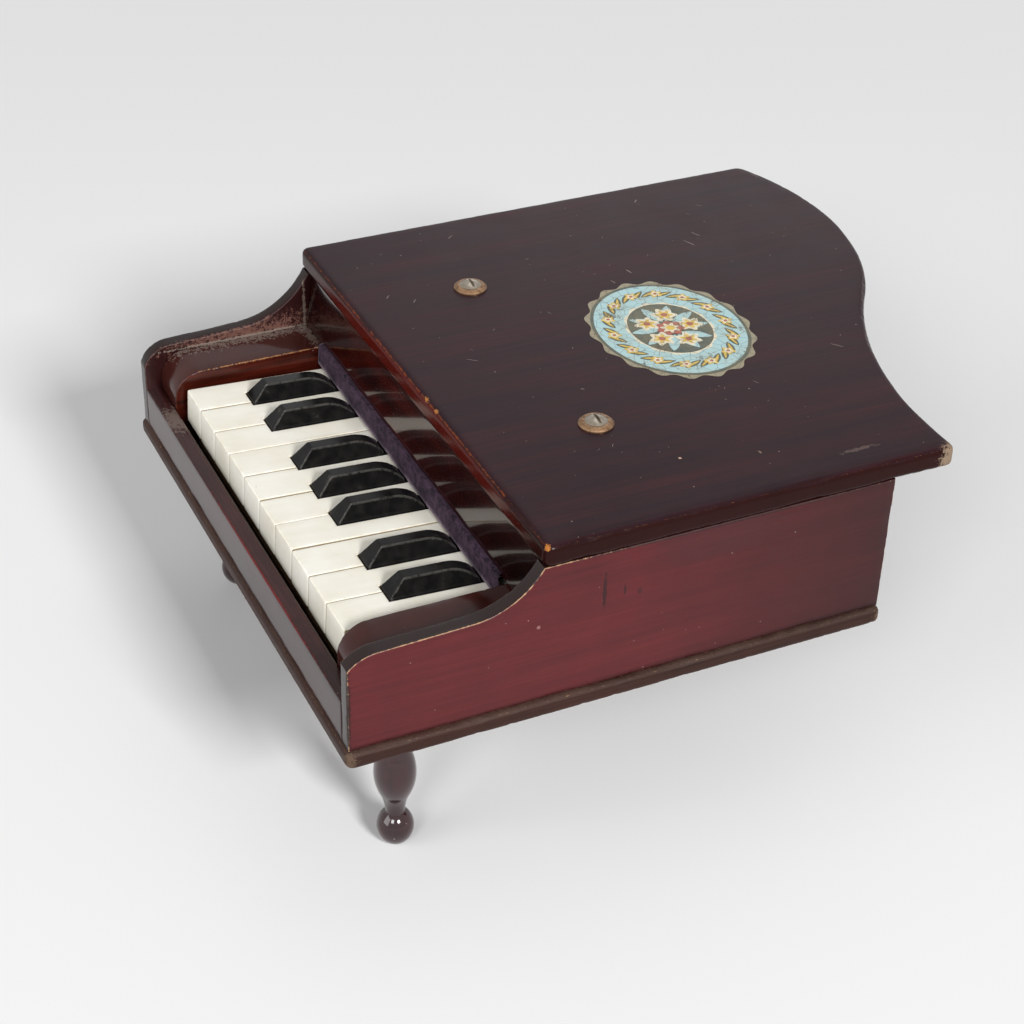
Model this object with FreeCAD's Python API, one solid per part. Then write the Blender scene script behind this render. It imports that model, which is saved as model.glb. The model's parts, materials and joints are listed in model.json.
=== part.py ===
import FreeCAD, Part
import math
import os

from FreeCAD import Vector

# Toy grand piano of about 1930 to 1950: a stained wooden box on three turned legs, under a lid with
# a grand piano's curved tail. Ten white and seven black keys turn on one wire behind the nameboard.
# Each key's tail lifts a hammer, which strikes a steel rod held in a cast bar under the lid.
# Lengths are millimetres. Pieces are built with x across the keyboard from its middle, y backwards
# from the case's front face and z upwards from the floor, and are centred on the footprint last.

# Shared allowances
overrun = 1.0
pin_clearance = 0.05
press_clearance = 0.02
board_clearance = 0.2
rest_gap = 0.25
same_place = 0.00001

# Legs
leg_height = 63.4
leg_inset_side = 26.3
leg_inset_front = 26.8
rear_leg_inset = 26.0
foot_flat_radius = 2.4
foot_radius = 6.15
foot_widest = 6.9
waist_radius = 3.3
waist_height = 13.8
bulb_radius = 7.1
bulb_height = 31.2
neck_radius = 4.2
neck_height = 49.6
bead_radius = 5.9
bead_thickness = 4.2
collar_radius = 7.2
collar_thickness = 6.0
tenon_radius = 3.5
tenon_length = 4.5

# Base board
base_thickness = 6.6
base_overhang_side = 2.0
base_overhang_front = 1.2
base_overhang_back = 0.8
base_corner_radius = 1.4
base_edge_radius = 2.2

# Case
case_width = 220.0
case_depth = 201.0
panel_thickness = 6.0
panel_height = 53.7
arm_height_left = 34.2
arm_height_right = 37.5
arm_rise = 1.1
arm_nose_length = 11.0
arm_nose_radius_left = 11.6
arm_nose_radius_right = 14.7
arm_sweep_radius_left = 35.0
arm_sweep_radius_right = 30.0
arm_edge_radius = 0.7
back_thickness = 5.0
front_rail_thickness = 6.0
front_rail_height = 16.5
front_rail_edge_radius = 0.6
cheek_width = 19.0
cheek_height = 31.4
cheek_length = 98.0
cheek_nose_radius = 11.0
cheek_edge_radius = 0.6

# Lid
lid_thickness = 8.0
lid_front_y = 67.9
lid_overhang_left = 1.8
lid_overhang_right = 0.5
lid_side_right = 156.3
lid_tail_reach = 278.0
lid_crest_inset = 49.1
lid_crest_radius = 112.0
lid_hollow_inset = 12.0
lid_corner_radius = 2.4
lid_top_edge_radius = 2.3
lid_under_edge_radius = 1.7

# Nameboard and its felt strip
nameboard_foot_y = 66.2
nameboard_lean = 3.4
nameboard_thickness = 4.0
felt_thickness = 1.9
felt_front_y = 64.0
felt_lift = 0.5
felt_lap = 1.8
felt_end_gap = 0.5

# Keyboard: the keys rest with their fronts up, tilted about their wire, and are drawn level
white_count = 10
key_gap = 0.4
keyboard_end_gap = 3.0
key_front_y = 9.4
key_front_above_base = 26.5
key_tilt_degrees = 3.0
key_height = 13.0
key_edge_radius = 0.5
key_pivot_y = 78.0
key_tail_y = 122.0
key_dip = 5.0
notch_gap = 0.6
notch_front_gap = 1.8
black_nose_y = 30.1
black_width = 8.8
black_top_width = 4.7
black_rise = 6.6
black_nose_run = 5.4
black_heel_y = 63.2
black_heel_rise = 1.0
black_heel_run = 12.8
black_edge_radius = 0.6
key_wire_radius = 1.2
key_wire_seat = 7.0

# How many white keys stand on the bass side of each black key, and how far each black key stands
# off the line between its two white keys, as a share of a white key's pitch
whites_before_black_counts = [1, 2, 4, 5, 6, 8, 9]
black_offset_shares = [-0.16, 0.08, -0.18, 0.03, 0.17, -0.12, 0.08]

# Stop and rest rails under the keys
stop_rail_y = 14.0
stop_rail_depth = 12.0
rest_rail_y = 108.0
rest_rail_depth = 10.0
rail_felt_thickness = 2.0

# Hammers
hammer_pivot_y = 98.0
hammer_pivot_above_cheek = 3.3
hammer_wire_radius = 0.8
hammer_width = 5.0
hammer_hub_radius = 2.8
hammer_shank_height = 3.0
hammer_heel_y = 112.0
hammer_heel_width = 3.0
hammer_head_y = 137.0
hammer_head_length = 7.0
hammer_head_nose_radius = 1.6
hammer_let_off = 0.8
hammer_rail_y = 85.0
hammer_rail_depth = 9.4
hammer_rail_height = 7.3
hammer_block_width = 10.0
hammer_block_behind_wire = 4.0

# Sound bar, tone rods and the two screws that hold the bar to the lid
bar_y = 110.0
bar_depth = 13.0
bar_height = 10.0
bar_edge_radius = 1.4
bar_end_margin = 7.0
rod_radius = 1.2
rod_drop = 5.7
rod_embed = 4.0
rod_length_bass = 68.0
semitones_per_octave = 12
screw_y = 116.1
screw_spacing = 105.9
screw_shift = -2.9
screw_radius = 1.75
screw_grip = 8.0
screw_hole_clearance = 0.25
screw_head_radius = 4.1
screw_dome_height = 1.5
screw_slot_width = 1.1
screw_slot_depth = 1.0
washer_radius = 6.35
washer_height = 1.5
washer_rim_height = 0.5
washer_lip_width = 0.7
washer_seat_depth = 1.1
washer_bulge_height = 0.15

# Levels and limits that follow from the sizes
case_half = case_width / 2
inner_half = case_half - panel_thickness
base_top = leg_height + base_thickness
lid_under = base_top + panel_height
lid_top = lid_under + lid_thickness
cheek_top = base_top + cheek_height
lid_left = -case_half - lid_overhang_left
lid_right = case_half + lid_overhang_right
cheek_inner = inner_half - cheek_width
keyboard_half = cheek_inner - keyboard_end_gap
white_pitch = 2 * keyboard_half / white_count
back_inner_y = case_depth - back_thickness
key_tilt = math.radians(key_tilt_degrees)
key_reach = key_pivot_y - key_front_y
key_front_climb = key_reach * math.sin(key_tilt) + key_height / 2 * math.cos(key_tilt)
key_pivot_z = base_top + key_front_above_base - key_front_climb
key_top = key_pivot_z + key_height / 2
key_bottom = key_pivot_z - key_height / 2
notch_y = black_nose_y - notch_front_gap
hammer_pivot_z = cheek_top + hammer_pivot_above_cheek
rod_z = lid_under - rod_drop
bar_back_y = bar_y + bar_depth
footprint_middle_y = (lid_tail_reach - base_overhang_front) / 2

# A key's turn, and the turn that it gives its hammer
key_turn = math.asin(key_dip / key_reach)
hammer_ratio = (hammer_heel_y - key_pivot_y) / (hammer_heel_y - hammer_pivot_y)
hammer_turn = key_turn * hammer_ratio
hammer_head_rise = (hammer_head_y - hammer_pivot_y) * math.sin(hammer_turn)
hammer_head_top = rod_z - rod_radius - hammer_let_off - hammer_head_rise


def line(start, end):
    return Part.LineSegment(start, end).toShape()


def arc(start, middle, end):
    return Part.Arc(start, middle, end).toShape()


def closed_lines(points):
    return [line(a, b) for a, b in zip(points, points[1:] + points[:1])]


def on_circle(centre, radius, angle):
    """A point of a circle that stands in the plane across x."""
    return centre + Vector(0, radius * math.cos(angle), radius * math.sin(angle))


def extrude_x(edges, x_low, x_high):
    """Carry an outline in the plane x = 0 from x_low to x_high."""
    solid = Part.Face(Part.Wire(edges)).extrude(Vector(x_high - x_low, 0, 0))
    solid.translate(Vector(x_low, 0, 0))
    return solid


def block(x_low, x_high, y_low, y_high, z_low, z_high):
    size = Vector(x_high - x_low, y_high - y_low, z_high - z_low)
    return Part.makeBox(size.x, size.y, size.z, Vector(x_low, y_low, z_low))


def cylinder_x(radius, x_low, x_high, y, z):
    return Part.makeCylinder(radius, x_high - x_low, Vector(x_low, y, z), Vector(1, 0, 0))


def cylinder_z(radius, x, y, z_low, z_high):
    return Part.makeCylinder(radius, z_high - z_low, Vector(x, y, z_low))


def turned(edges, x, y, z):
    """Turn a half section, drawn with x as radius, about the vertical through (x, y)."""
    face = Part.Face(Part.Wire(edges))
    solid = face.revolve(Vector(0, 0, 0), Vector(0, 0, 1), 360)
    solid.translate(Vector(x, y, z))
    return solid


def edges_where(solid, test):
    """Edges whose middle point passes the test."""
    chosen = []
    for edge in solid.Edges:
        middle = edge.valueAt((edge.FirstParameter + edge.LastParameter) / 2)
        if test(middle):
            chosen.append(edge)
    return chosen


def level(value, target):
    return abs(value - target) < same_place


def save(name, shape):
    placed = shape.copy()
    placed.translate(Vector(0, -footprint_middle_y, 0))
    placed.exportStep(os.path.join("parts", name + ".step"))


def turned_swell(low, high):
    """Two equal arcs that leave one radius of a turning upright and reach the next upright.

    Each arc covers half of the way, so both have the radius (width squared + height squared) / (4 width).
    """
    width = abs(high.x - low.x)
    height = high.z - low.z
    radius = (width ** 2 + height ** 2) / (4 * width)
    half_turn = math.atan2(height / 2, radius - width / 2) / 2
    outward = math.copysign(radius * (1 - math.cos(half_turn)), high.x - low.x)
    step = Vector(outward, 0, radius * math.sin(half_turn))
    middle = (low + high) / 2
    return [arc(low, low + step, middle), arc(middle, high - step, high)]


def make_leg(x, y):
    """Ball foot, waist, bulb, neck, bead and collar turned in one piece with a tenon on top."""
    foot_bottom = Vector(foot_flat_radius, 0, 0)
    foot_side = Vector(foot_radius, 0, foot_widest)
    waist = Vector(waist_radius, 0, waist_height)
    bulb = Vector(bulb_radius, 0, bulb_height)
    neck = Vector(neck_radius, 0, neck_height)
    bead_side = Vector(bead_radius, 0, neck_height + bead_thickness / 2)
    bead_end = Vector(neck_radius, 0, neck_height + bead_thickness)
    collar_low = Vector(collar_radius, 0, leg_height - collar_thickness)
    collar_high = Vector(collar_radius, 0, leg_height)
    tenon_low = Vector(tenon_radius, 0, leg_height)
    tenon_high = Vector(tenon_radius, 0, leg_height + tenon_length)
    section = [
        line(Vector(0, 0, 0), foot_bottom),
        arc(foot_bottom, foot_side, waist),
        *turned_swell(waist, bulb),
        *turned_swell(bulb, neck),
        arc(neck, bead_side, bead_end),
        line(bead_end, collar_low),
        line(collar_low, collar_high),
        line(collar_high, tenon_low),
        line(tenon_low, tenon_high),
        line(tenon_high, Vector(0, 0, tenon_high.z)),
        line(Vector(0, 0, tenon_high.z), Vector(0, 0, 0)),
    ]
    return turned(section, x, y, 0)


def make_base(leg_places):
    """Board with rounded corners and a worn, nearly half-round edge, bored for the leg tenons."""
    half = case_half + base_overhang_side
    board = block(-half, half, -base_overhang_front, case_depth + base_overhang_back, leg_height, base_top)
    upright = edges_where(board, lambda middle: level(middle.z, (leg_height + base_top) / 2))
    board = board.makeFillet(base_corner_radius, upright)
    flat = edges_where(board, lambda middle: level(middle.z, leg_height) or level(middle.z, base_top))
    board = board.makeFillet(base_edge_radius, flat)
    for x, y in leg_places:
        bore = tenon_radius + pin_clearance
        board = board.cut(cylinder_z(bore, x, y, leg_height - overrun, leg_height + tenon_length + rest_gap))
    return board


def make_side_panel(side, arm_height, nose_radius, sweep_radius):
    """Upright board whose front runs down in a hollow sweep to a low arm with a rounded nose."""
    arm_front_z = base_top + arm_height
    arm_back_z = arm_front_z + arm_rise
    climb = lid_under - arm_back_z
    sweep_angle = math.acos(1 - climb / sweep_radius)
    sweep_end_y = lid_front_y
    sweep_start_y = sweep_end_y - sweep_radius * math.sin(sweep_angle)
    sweep_centre = Vector(0, sweep_start_y, arm_back_z + sweep_radius)
    down = -math.pi / 2
    nose_centre = Vector(0, arm_nose_length, arm_front_z - nose_radius)
    nose_angle = math.asin(arm_nose_length / nose_radius)
    nose_low = on_circle(nose_centre, nose_radius, math.pi / 2 + nose_angle)
    nose_middle = on_circle(nose_centre, nose_radius, math.pi / 2 + nose_angle / 2)
    nose_high = on_circle(nose_centre, nose_radius, math.pi / 2)
    sweep_low = on_circle(sweep_centre, sweep_radius, down)
    sweep_middle = on_circle(sweep_centre, sweep_radius, down + sweep_angle / 2)
    sweep_high = on_circle(sweep_centre, sweep_radius, down + sweep_angle)
    front_foot = Vector(0, 0, base_top)
    back_foot = Vector(0, case_depth, base_top)
    back_top = Vector(0, case_depth, lid_under)
    outline = [
        line(front_foot, nose_low),
        arc(nose_low, nose_middle, nose_high),
        line(nose_high, sweep_low),
        arc(sweep_low, sweep_middle, sweep_high),
        line(sweep_high, back_top),
        line(back_top, back_foot),
        line(back_foot, front_foot),
    ]
    x_low, x_high = sorted([side * inner_half, side * case_half])
    panel = extrude_x(outline, x_low, x_high)
    front_edges = edges_where(panel, lambda middle: (
        (level(middle.x, x_low) or level(middle.x, x_high))
        and base_top < middle.z < lid_under and middle.y < sweep_end_y))
    return panel.makeFillet(arm_edge_radius, front_edges)


def make_cheek(side):
    """Block between panel and keys: a ledge below the arm, round at the front, bored for the key wire."""
    front = front_rail_thickness
    nose_centre = Vector(0, front + cheek_nose_radius, cheek_top - cheek_nose_radius)
    nose_low = on_circle(nose_centre, cheek_nose_radius, math.pi)
    nose_middle = on_circle(nose_centre, cheek_nose_radius, math.pi * 3 / 4)
    nose_high = on_circle(nose_centre, cheek_nose_radius, math.pi / 2)
    back = front + cheek_length
    outline = [
        line(Vector(0, front, base_top), nose_low),
        arc(nose_low, nose_middle, nose_high),
        line(nose_high, Vector(0, back, cheek_top)),
        line(Vector(0, back, cheek_top), Vector(0, back, base_top)),
        line(Vector(0, back, base_top), Vector(0, front, base_top)),
    ]
    x_low, x_high = sorted([side * cheek_inner, side * inner_half])
    cheek = extrude_x(outline, x_low, x_high)
    ledge_edges = edges_where(cheek, lambda middle: (
        level(middle.x, side * cheek_inner) and middle.z > nose_low.z and middle.y < back))
    cheek = cheek.makeFillet(cheek_edge_radius, ledge_edges)
    bore_low, bore_high = sorted([
        side * (cheek_inner - overrun),
        side * (cheek_inner + key_wire_seat + rest_gap)])
    bore = key_wire_radius + pin_clearance
    return cheek.cut(cylinder_x(bore, bore_low, bore_high, key_pivot_y, key_pivot_z))


def make_front_rail():
    """Key slip: the low rail across the front, flush with the panels' front edges."""
    top = base_top + front_rail_height
    rail = block(-inner_half, inner_half, 0, front_rail_thickness, base_top, top)
    arrises = edges_where(rail, lambda middle: level(middle.z, top) and level(middle.x, 0))
    return rail.makeFillet(front_rail_edge_radius, arrises)


def nameboard_face_y(z):
    """Where the leaning front face of the nameboard stands at a height."""
    return nameboard_foot_y + nameboard_lean * (z - cheek_top) / (lid_under - cheek_top)


def make_nameboard():
    """Board that stands on the two cheeks between the panels and leans back towards the lid."""
    top = lid_under - board_clearance
    front_foot = Vector(0, nameboard_face_y(cheek_top), cheek_top)
    front_top = Vector(0, nameboard_face_y(top), top)
    back = Vector(0, nameboard_thickness, 0)
    outline = closed_lines([front_foot, front_top, front_top + back, front_foot + back])
    return extrude_x(outline, board_clearance - inner_half, inner_half - board_clearance)


def key_top_at(y):
    """Height of a resting, tilted key's upper side."""
    return key_pivot_z - (y - key_pivot_y) * math.tan(key_tilt) + key_height / 2 / math.cos(key_tilt)


def key_underside_at(y):
    """Height of a resting, tilted key's lower side."""
    return key_top_at(y) - key_height / math.cos(key_tilt)


def make_nameboard_felt():
    """Velvet strip glued along the nameboard's foot, flaring forwards to hang just over the keys."""
    low = key_top_at(felt_front_y) + felt_lift
    lap_top = cheek_top + felt_lap
    outline = closed_lines([
        Vector(0, felt_front_y, low),
        Vector(0, nameboard_face_y(lap_top) - felt_thickness, lap_top),
        Vector(0, nameboard_face_y(lap_top), lap_top),
        Vector(0, nameboard_face_y(cheek_top), cheek_top),
        Vector(0, felt_front_y + felt_thickness, low),
    ])
    half = cheek_inner - felt_end_gap
    return extrude_x(outline, -half, half)


def make_lid(screw_places):
    """Lid whose tail swells on the bass side and falls in a hollow curve to the treble side.

    The crest and the hollow are two arcs that meet in one tangent line, so the hollow's radius follows
    from the crest's circle and from where the hollow ends.
    """
    crest_centre = Vector(lid_left + lid_crest_inset, lid_tail_reach - lid_crest_radius, lid_under)
    hollow_x = lid_right - lid_hollow_inset
    right_back_y = lid_front_y + lid_side_right
    across = hollow_x - crest_centre.x
    down = right_back_y - crest_centre.y
    hollow_radius = (across ** 2 + down ** 2 - lid_crest_radius ** 2) / (2 * (lid_crest_radius - down))
    hollow_centre = Vector(hollow_x, right_back_y + hollow_radius, lid_under)
    between = (hollow_centre - crest_centre).normalize()
    turn_point = crest_centre + between * lid_crest_radius
    left_back_y = crest_centre.y + math.sqrt(lid_crest_radius ** 2 - lid_crest_inset ** 2)
    left_back = Vector(lid_left, left_back_y, lid_under)
    crest = crest_centre + Vector(0, lid_crest_radius, 0)
    hollow_end = hollow_centre - Vector(0, hollow_radius, 0)
    hollow_chord = ((turn_point + hollow_end) / 2 - hollow_centre).normalize()
    hollow_middle = hollow_centre + hollow_chord * hollow_radius
    right_back = Vector(lid_right, right_back_y, lid_under)
    left_front = Vector(lid_left, lid_front_y, lid_under)
    right_front = Vector(lid_right, lid_front_y, lid_under)
    outline = [
        line(right_front, left_front),
        line(left_front, left_back),
        arc(left_back, crest, turn_point),
        arc(turn_point, hollow_middle, hollow_end),
        line(hollow_end, right_back),
        line(right_back, right_front),
    ]
    lid = Part.Face(Part.Wire(outline)).extrude(Vector(0, 0, lid_thickness))
    corners = [left_front, right_front, left_back, right_back]
    upright = edges_where(lid, lambda middle: any(
        level(middle.x, corner.x) and level(middle.y, corner.y) for corner in corners))
    lid = lid.makeFillet(lid_corner_radius, upright)
    for radius, z in ((lid_top_edge_radius, lid_top), (lid_under_edge_radius, lid_under)):
        lid = lid.makeFillet(radius, edges_where(lid, lambda middle: level(middle.z, z)))
    for x in screw_places:
        hole = screw_radius + screw_hole_clearance
        lid = lid.cut(cylinder_z(hole, x, screw_y, lid_under - overrun, lid_top + overrun))
    return lid


def make_washer(x):
    """Pressed cup washer: a low rim that rises to a lip around a conical seat."""
    hole = screw_radius + screw_hole_clearance
    seat_z = washer_height - washer_seat_depth
    lip_outer = screw_head_radius + washer_lip_width
    bulge_z = (washer_rim_height + washer_height) / 2 + washer_bulge_height
    bulge = Vector((washer_radius + lip_outer) / 2, 0, bulge_z)
    section = [
        line(Vector(hole, 0, 0), Vector(washer_radius, 0, 0)),
        line(Vector(washer_radius, 0, 0), Vector(washer_radius, 0, washer_rim_height)),
        arc(Vector(washer_radius, 0, washer_rim_height), bulge, Vector(lip_outer, 0, washer_height)),
        line(Vector(lip_outer, 0, washer_height), Vector(screw_head_radius, 0, washer_height)),
        line(Vector(screw_head_radius, 0, washer_height), Vector(hole, 0, seat_z)),
        line(Vector(hole, 0, seat_z), Vector(hole, 0, 0)),
    ]
    return turned(section, x, screw_y, lid_top)


def make_screw(x):
    """Slotted raised-head screw that passes the lid and threads into the sound bar."""
    hole = screw_radius + screw_hole_clearance
    seat_z = washer_height - washer_seat_depth + pin_clearance
    head_z = washer_height + pin_clearance
    tip_z = -lid_thickness - screw_grip
    dome_radius = (screw_head_radius ** 2 + screw_dome_height ** 2) / (2 * screw_dome_height)
    dome_middle_r = screw_head_radius / 2
    dome_fall = dome_radius - math.sqrt(dome_radius ** 2 - dome_middle_r ** 2)
    dome_top = head_z + screw_dome_height
    section = [
        line(Vector(0, 0, tip_z), Vector(screw_radius, 0, tip_z)),
        line(Vector(screw_radius, 0, tip_z), Vector(screw_radius, 0, seat_z)),
        line(Vector(screw_radius, 0, seat_z), Vector(hole, 0, seat_z)),
        line(Vector(hole, 0, seat_z), Vector(screw_head_radius, 0, head_z)),
        arc(Vector(screw_head_radius, 0, head_z), Vector(dome_middle_r, 0, dome_top - dome_fall),
            Vector(0, 0, dome_top)),
        line(Vector(0, 0, dome_top), Vector(0, 0, tip_z)),
    ]
    screw = turned(section, x, screw_y, lid_top)
    slot_floor = lid_top + dome_top - screw_slot_depth
    slot = block(x - screw_head_radius - overrun, x + screw_head_radius + overrun,
                 screw_y - screw_slot_width / 2, screw_y + screw_slot_width / 2,
                 slot_floor, lid_top + dome_top + overrun)
    return screw.cut(slot)


def make_white_key(left, right, stem_left, stem_right):
    """Square-fronted lever: a full-width head, then a stem notched to pass beside the black keys."""
    corners = [(left, key_front_y), (right, key_front_y)]
    if stem_right < right:
        corners += [(right, notch_y), (stem_right, notch_y)]
    corners += [(stem_right, key_tail_y), (stem_left, key_tail_y)]
    if stem_left > left:
        corners += [(stem_left, notch_y), (left, notch_y)]
    outline = closed_lines([Vector(x, y, key_bottom) for x, y in corners])
    key = Part.Face(Part.Wire(outline)).extrude(Vector(0, 0, key_height))
    return hang_key(round_key_edges(key), left, right)


def round_key_edges(key):
    """Ease the top arrises and the upright corners of a key's front."""
    chosen = edges_where(key, lambda middle: level(middle.z, key_top) or (
        level(middle.y, key_front_y) and level(middle.z, key_pivot_z)))
    return key.makeFillet(key_edge_radius, chosen)


def hang_key(key, x_low, x_high):
    """Bore a level key for its wire and tilt it to its resting place."""
    bore = key_wire_radius + pin_clearance
    hung = key.cut(cylinder_x(bore, x_low - overrun, x_high + overrun, key_pivot_y, key_pivot_z))
    hung.rotate(Vector(0, key_pivot_y, key_pivot_z), Vector(1, 0, 0), -key_tilt_degrees)
    return hung


def make_black_cap(x):
    """Raised part of a black key: sloping sides, a sloped nose, a flat top and a rounded heel."""
    half = black_width / 2
    nose_foot = Vector(0, black_nose_y, key_top)
    heel_foot = Vector(0, black_heel_y, key_top)
    nose_top = nose_foot + Vector(0, black_nose_run, black_rise)
    heel_top = heel_foot + Vector(0, -black_heel_run, black_rise)
    heel_end = heel_foot + Vector(0, 0, black_heel_rise)
    heel_fall = black_rise - black_heel_rise
    heel_radius = (black_heel_run ** 2 + heel_fall ** 2) / (2 * heel_fall)
    heel_angle = math.atan2(black_heel_run, heel_radius - heel_fall)
    heel_centre = heel_top - Vector(0, 0, heel_radius)
    heel_middle = on_circle(heel_centre, heel_radius, (math.pi - heel_angle) / 2)
    side_view = [
        line(nose_foot, nose_top),
        line(nose_top, heel_top),
        arc(heel_top, heel_middle, heel_end),
        line(heel_end, heel_foot),
        line(heel_foot, nose_foot),
    ]
    cap = extrude_x(side_view, x - half, x + half)
    slope = (black_width - black_top_width) / 2 / black_rise
    reach = black_rise + overrun
    for side in (-1, 1):
        foot = Vector(x + side * half, black_nose_y - overrun, key_top)
        head = foot + Vector(-side * slope * reach, 0, reach)
        outside = foot + Vector(side * overrun, 0, 0)
        outside_high = outside + Vector(0, 0, reach)
        wedge = Part.Face(Part.Wire(closed_lines([foot, head, outside_high, outside])))
        cap = cap.cut(wedge.extrude(Vector(0, black_heel_y - black_nose_y + 2 * overrun, 0)))
    arrises = edges_where(cap, lambda middle: middle.z > key_top and middle.y < black_heel_y)
    return cap.makeFillet(black_edge_radius, arrises)


def make_black_key(x):
    """Straight lever with the raised cap on its front half."""
    x_low = x - black_width / 2
    x_high = x + black_width / 2
    lever = block(x_low, x_high, black_nose_y, key_tail_y, key_bottom, key_top)
    return hang_key(lever.fuse(make_black_cap(x)).removeSplitter(), x_low, x_high)


def make_hammer(x):
    """Wooden hammer: a hub on the wire, a shank, a heel on the key's tail and a head under the rod."""
    low_z = hammer_pivot_z - hammer_shank_height / 2
    high_z = hammer_pivot_z + hammer_shank_height / 2
    heel_half = hammer_heel_width / 2
    heel_front = hammer_heel_y - heel_half
    heel_back = hammer_heel_y + heel_half
    heel_end = key_top_at(hammer_heel_y) + rest_gap
    head_front = hammer_head_y - hammer_head_length / 2
    head_back = hammer_head_y + hammer_head_length / 2
    outline = [
        line(Vector(0, hammer_pivot_y, low_z), Vector(0, heel_front, low_z)),
        line(Vector(0, heel_front, low_z), Vector(0, heel_front, heel_end + heel_half)),
        arc(Vector(0, heel_front, heel_end + heel_half), Vector(0, hammer_heel_y, heel_end),
            Vector(0, heel_back, heel_end + heel_half)),
        line(Vector(0, heel_back, heel_end + heel_half), Vector(0, heel_back, low_z)),
        line(Vector(0, heel_back, low_z), Vector(0, head_back, low_z)),
        line(Vector(0, head_back, low_z), Vector(0, head_back, hammer_head_top)),
        line(Vector(0, head_back, hammer_head_top), Vector(0, head_front, hammer_head_top)),
        line(Vector(0, head_front, hammer_head_top), Vector(0, head_front, high_z)),
        line(Vector(0, head_front, high_z), Vector(0, hammer_pivot_y, high_z)),
        line(Vector(0, hammer_pivot_y, high_z), Vector(0, hammer_pivot_y, low_z)),
    ]
    x_low = x - hammer_width / 2
    x_high = x + hammer_width / 2
    hammer = extrude_x(outline, x_low, x_high)
    nose = edges_where(hammer, lambda middle: level(middle.z, hammer_head_top) and level(middle.x, x))
    hammer = hammer.makeFillet(hammer_head_nose_radius, nose)
    hammer = hammer.fuse(cylinder_x(hammer_hub_radius, x_low, x_high, hammer_pivot_y, hammer_pivot_z))
    bore = cylinder_x(hammer_wire_radius + pin_clearance, x_low - overrun, x_high + overrun,
                      hammer_pivot_y, hammer_pivot_z)
    return hammer.cut(bore).removeSplitter()


def make_hammer_rail():
    """Rail across the two cheeks, with a block at each end that carries the hammer wire."""
    end = cheek_inner + hammer_block_width
    top = cheek_top + hammer_rail_height
    rail = block(-end, end, hammer_rail_y, hammer_rail_y + hammer_rail_depth, cheek_top, top)
    block_back = hammer_pivot_y + hammer_block_behind_wire
    for side in (-1, 1):
        x_low, x_high = sorted([side * cheek_inner, side * end])
        rail = rail.fuse(block(x_low, x_high, hammer_rail_y, block_back, cheek_top, top))
    bore = cylinder_x(hammer_wire_radius + pin_clearance, -end - overrun, end + overrun,
                      hammer_pivot_y, hammer_pivot_z)
    return rail.removeSplitter().cut(bore)


def make_rail_and_felt(y, depth, felt_top):
    """Wooden rail on the base between the cheeks, and the felt glued along its top."""
    half = cheek_inner - board_clearance
    felt_low = felt_top - rail_felt_thickness
    rail = block(-half, half, y, y + depth, base_top, felt_low)
    felt = block(-half, half, y, y + depth, felt_low, felt_top)
    return rail, felt


def make_rods(places):
    """Equal steel rods, shorter towards the treble: a rod's length falls as the square root of its pitch."""
    rods = []
    for step, x in enumerate(places):
        free = rod_length_bass * 2 ** (-step / semitones_per_octave / 2)
        start = Vector(x, bar_back_y - rod_embed, rod_z)
        rods.append(Part.makeCylinder(rod_radius, rod_embed + free, start, Vector(0, 1, 0)))
    return Part.makeCompound(rods)


def make_sound_bar(places, screw_places):
    """Cast bar screwed up against the lid, bored behind for the rods and above for the screws."""
    low = places[0] - bar_end_margin
    high = places[-1] + bar_end_margin
    bar = block(low, high, bar_y, bar_back_y, lid_under - bar_height, lid_under)
    lower = edges_where(bar, lambda middle: level(middle.z, lid_under - bar_height))
    bar = bar.makeFillet(bar_edge_radius, lower)
    for x in places:
        mouth = Vector(x, bar_back_y + overrun, rod_z)
        depth = rod_embed + overrun
        bar = bar.cut(Part.makeCylinder(rod_radius + press_clearance, depth, mouth, Vector(0, -1, 0)))
    for x in screw_places:
        depth_z = lid_under - screw_grip - rest_gap
        bar = bar.cut(cylinder_z(screw_radius + press_clearance, x, screw_y, depth_z, lid_under + overrun))
    return bar


def white_edges():
    """Left and right side of each white key's head."""
    edges = []
    for index in range(white_count):
        left = index * white_pitch - keyboard_half
        edges.append((left + key_gap / 2, left + white_pitch - key_gap / 2))
    return edges


def black_places():
    """Middle of each black key, by how many white keys stand on its bass side."""
    return {count: (count + share) * white_pitch - keyboard_half
            for count, share in zip(whites_before_black_counts, black_offset_shares)}


def stop_felt_top():
    """Height at which a key's underside meets the stop felt's front edge at the end of its dip."""
    forward = key_pivot_y - stop_rail_y
    below_level = key_turn - key_tilt
    fall = forward * math.sin(below_level) + key_height / 2 * math.cos(below_level)
    return key_pivot_z - fall - rest_gap


def rest_felt_top():
    """Height at which a resting key's underside comes down to the rest felt's back edge."""
    return key_underside_at(rest_rail_y + rest_rail_depth) - rest_gap


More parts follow.
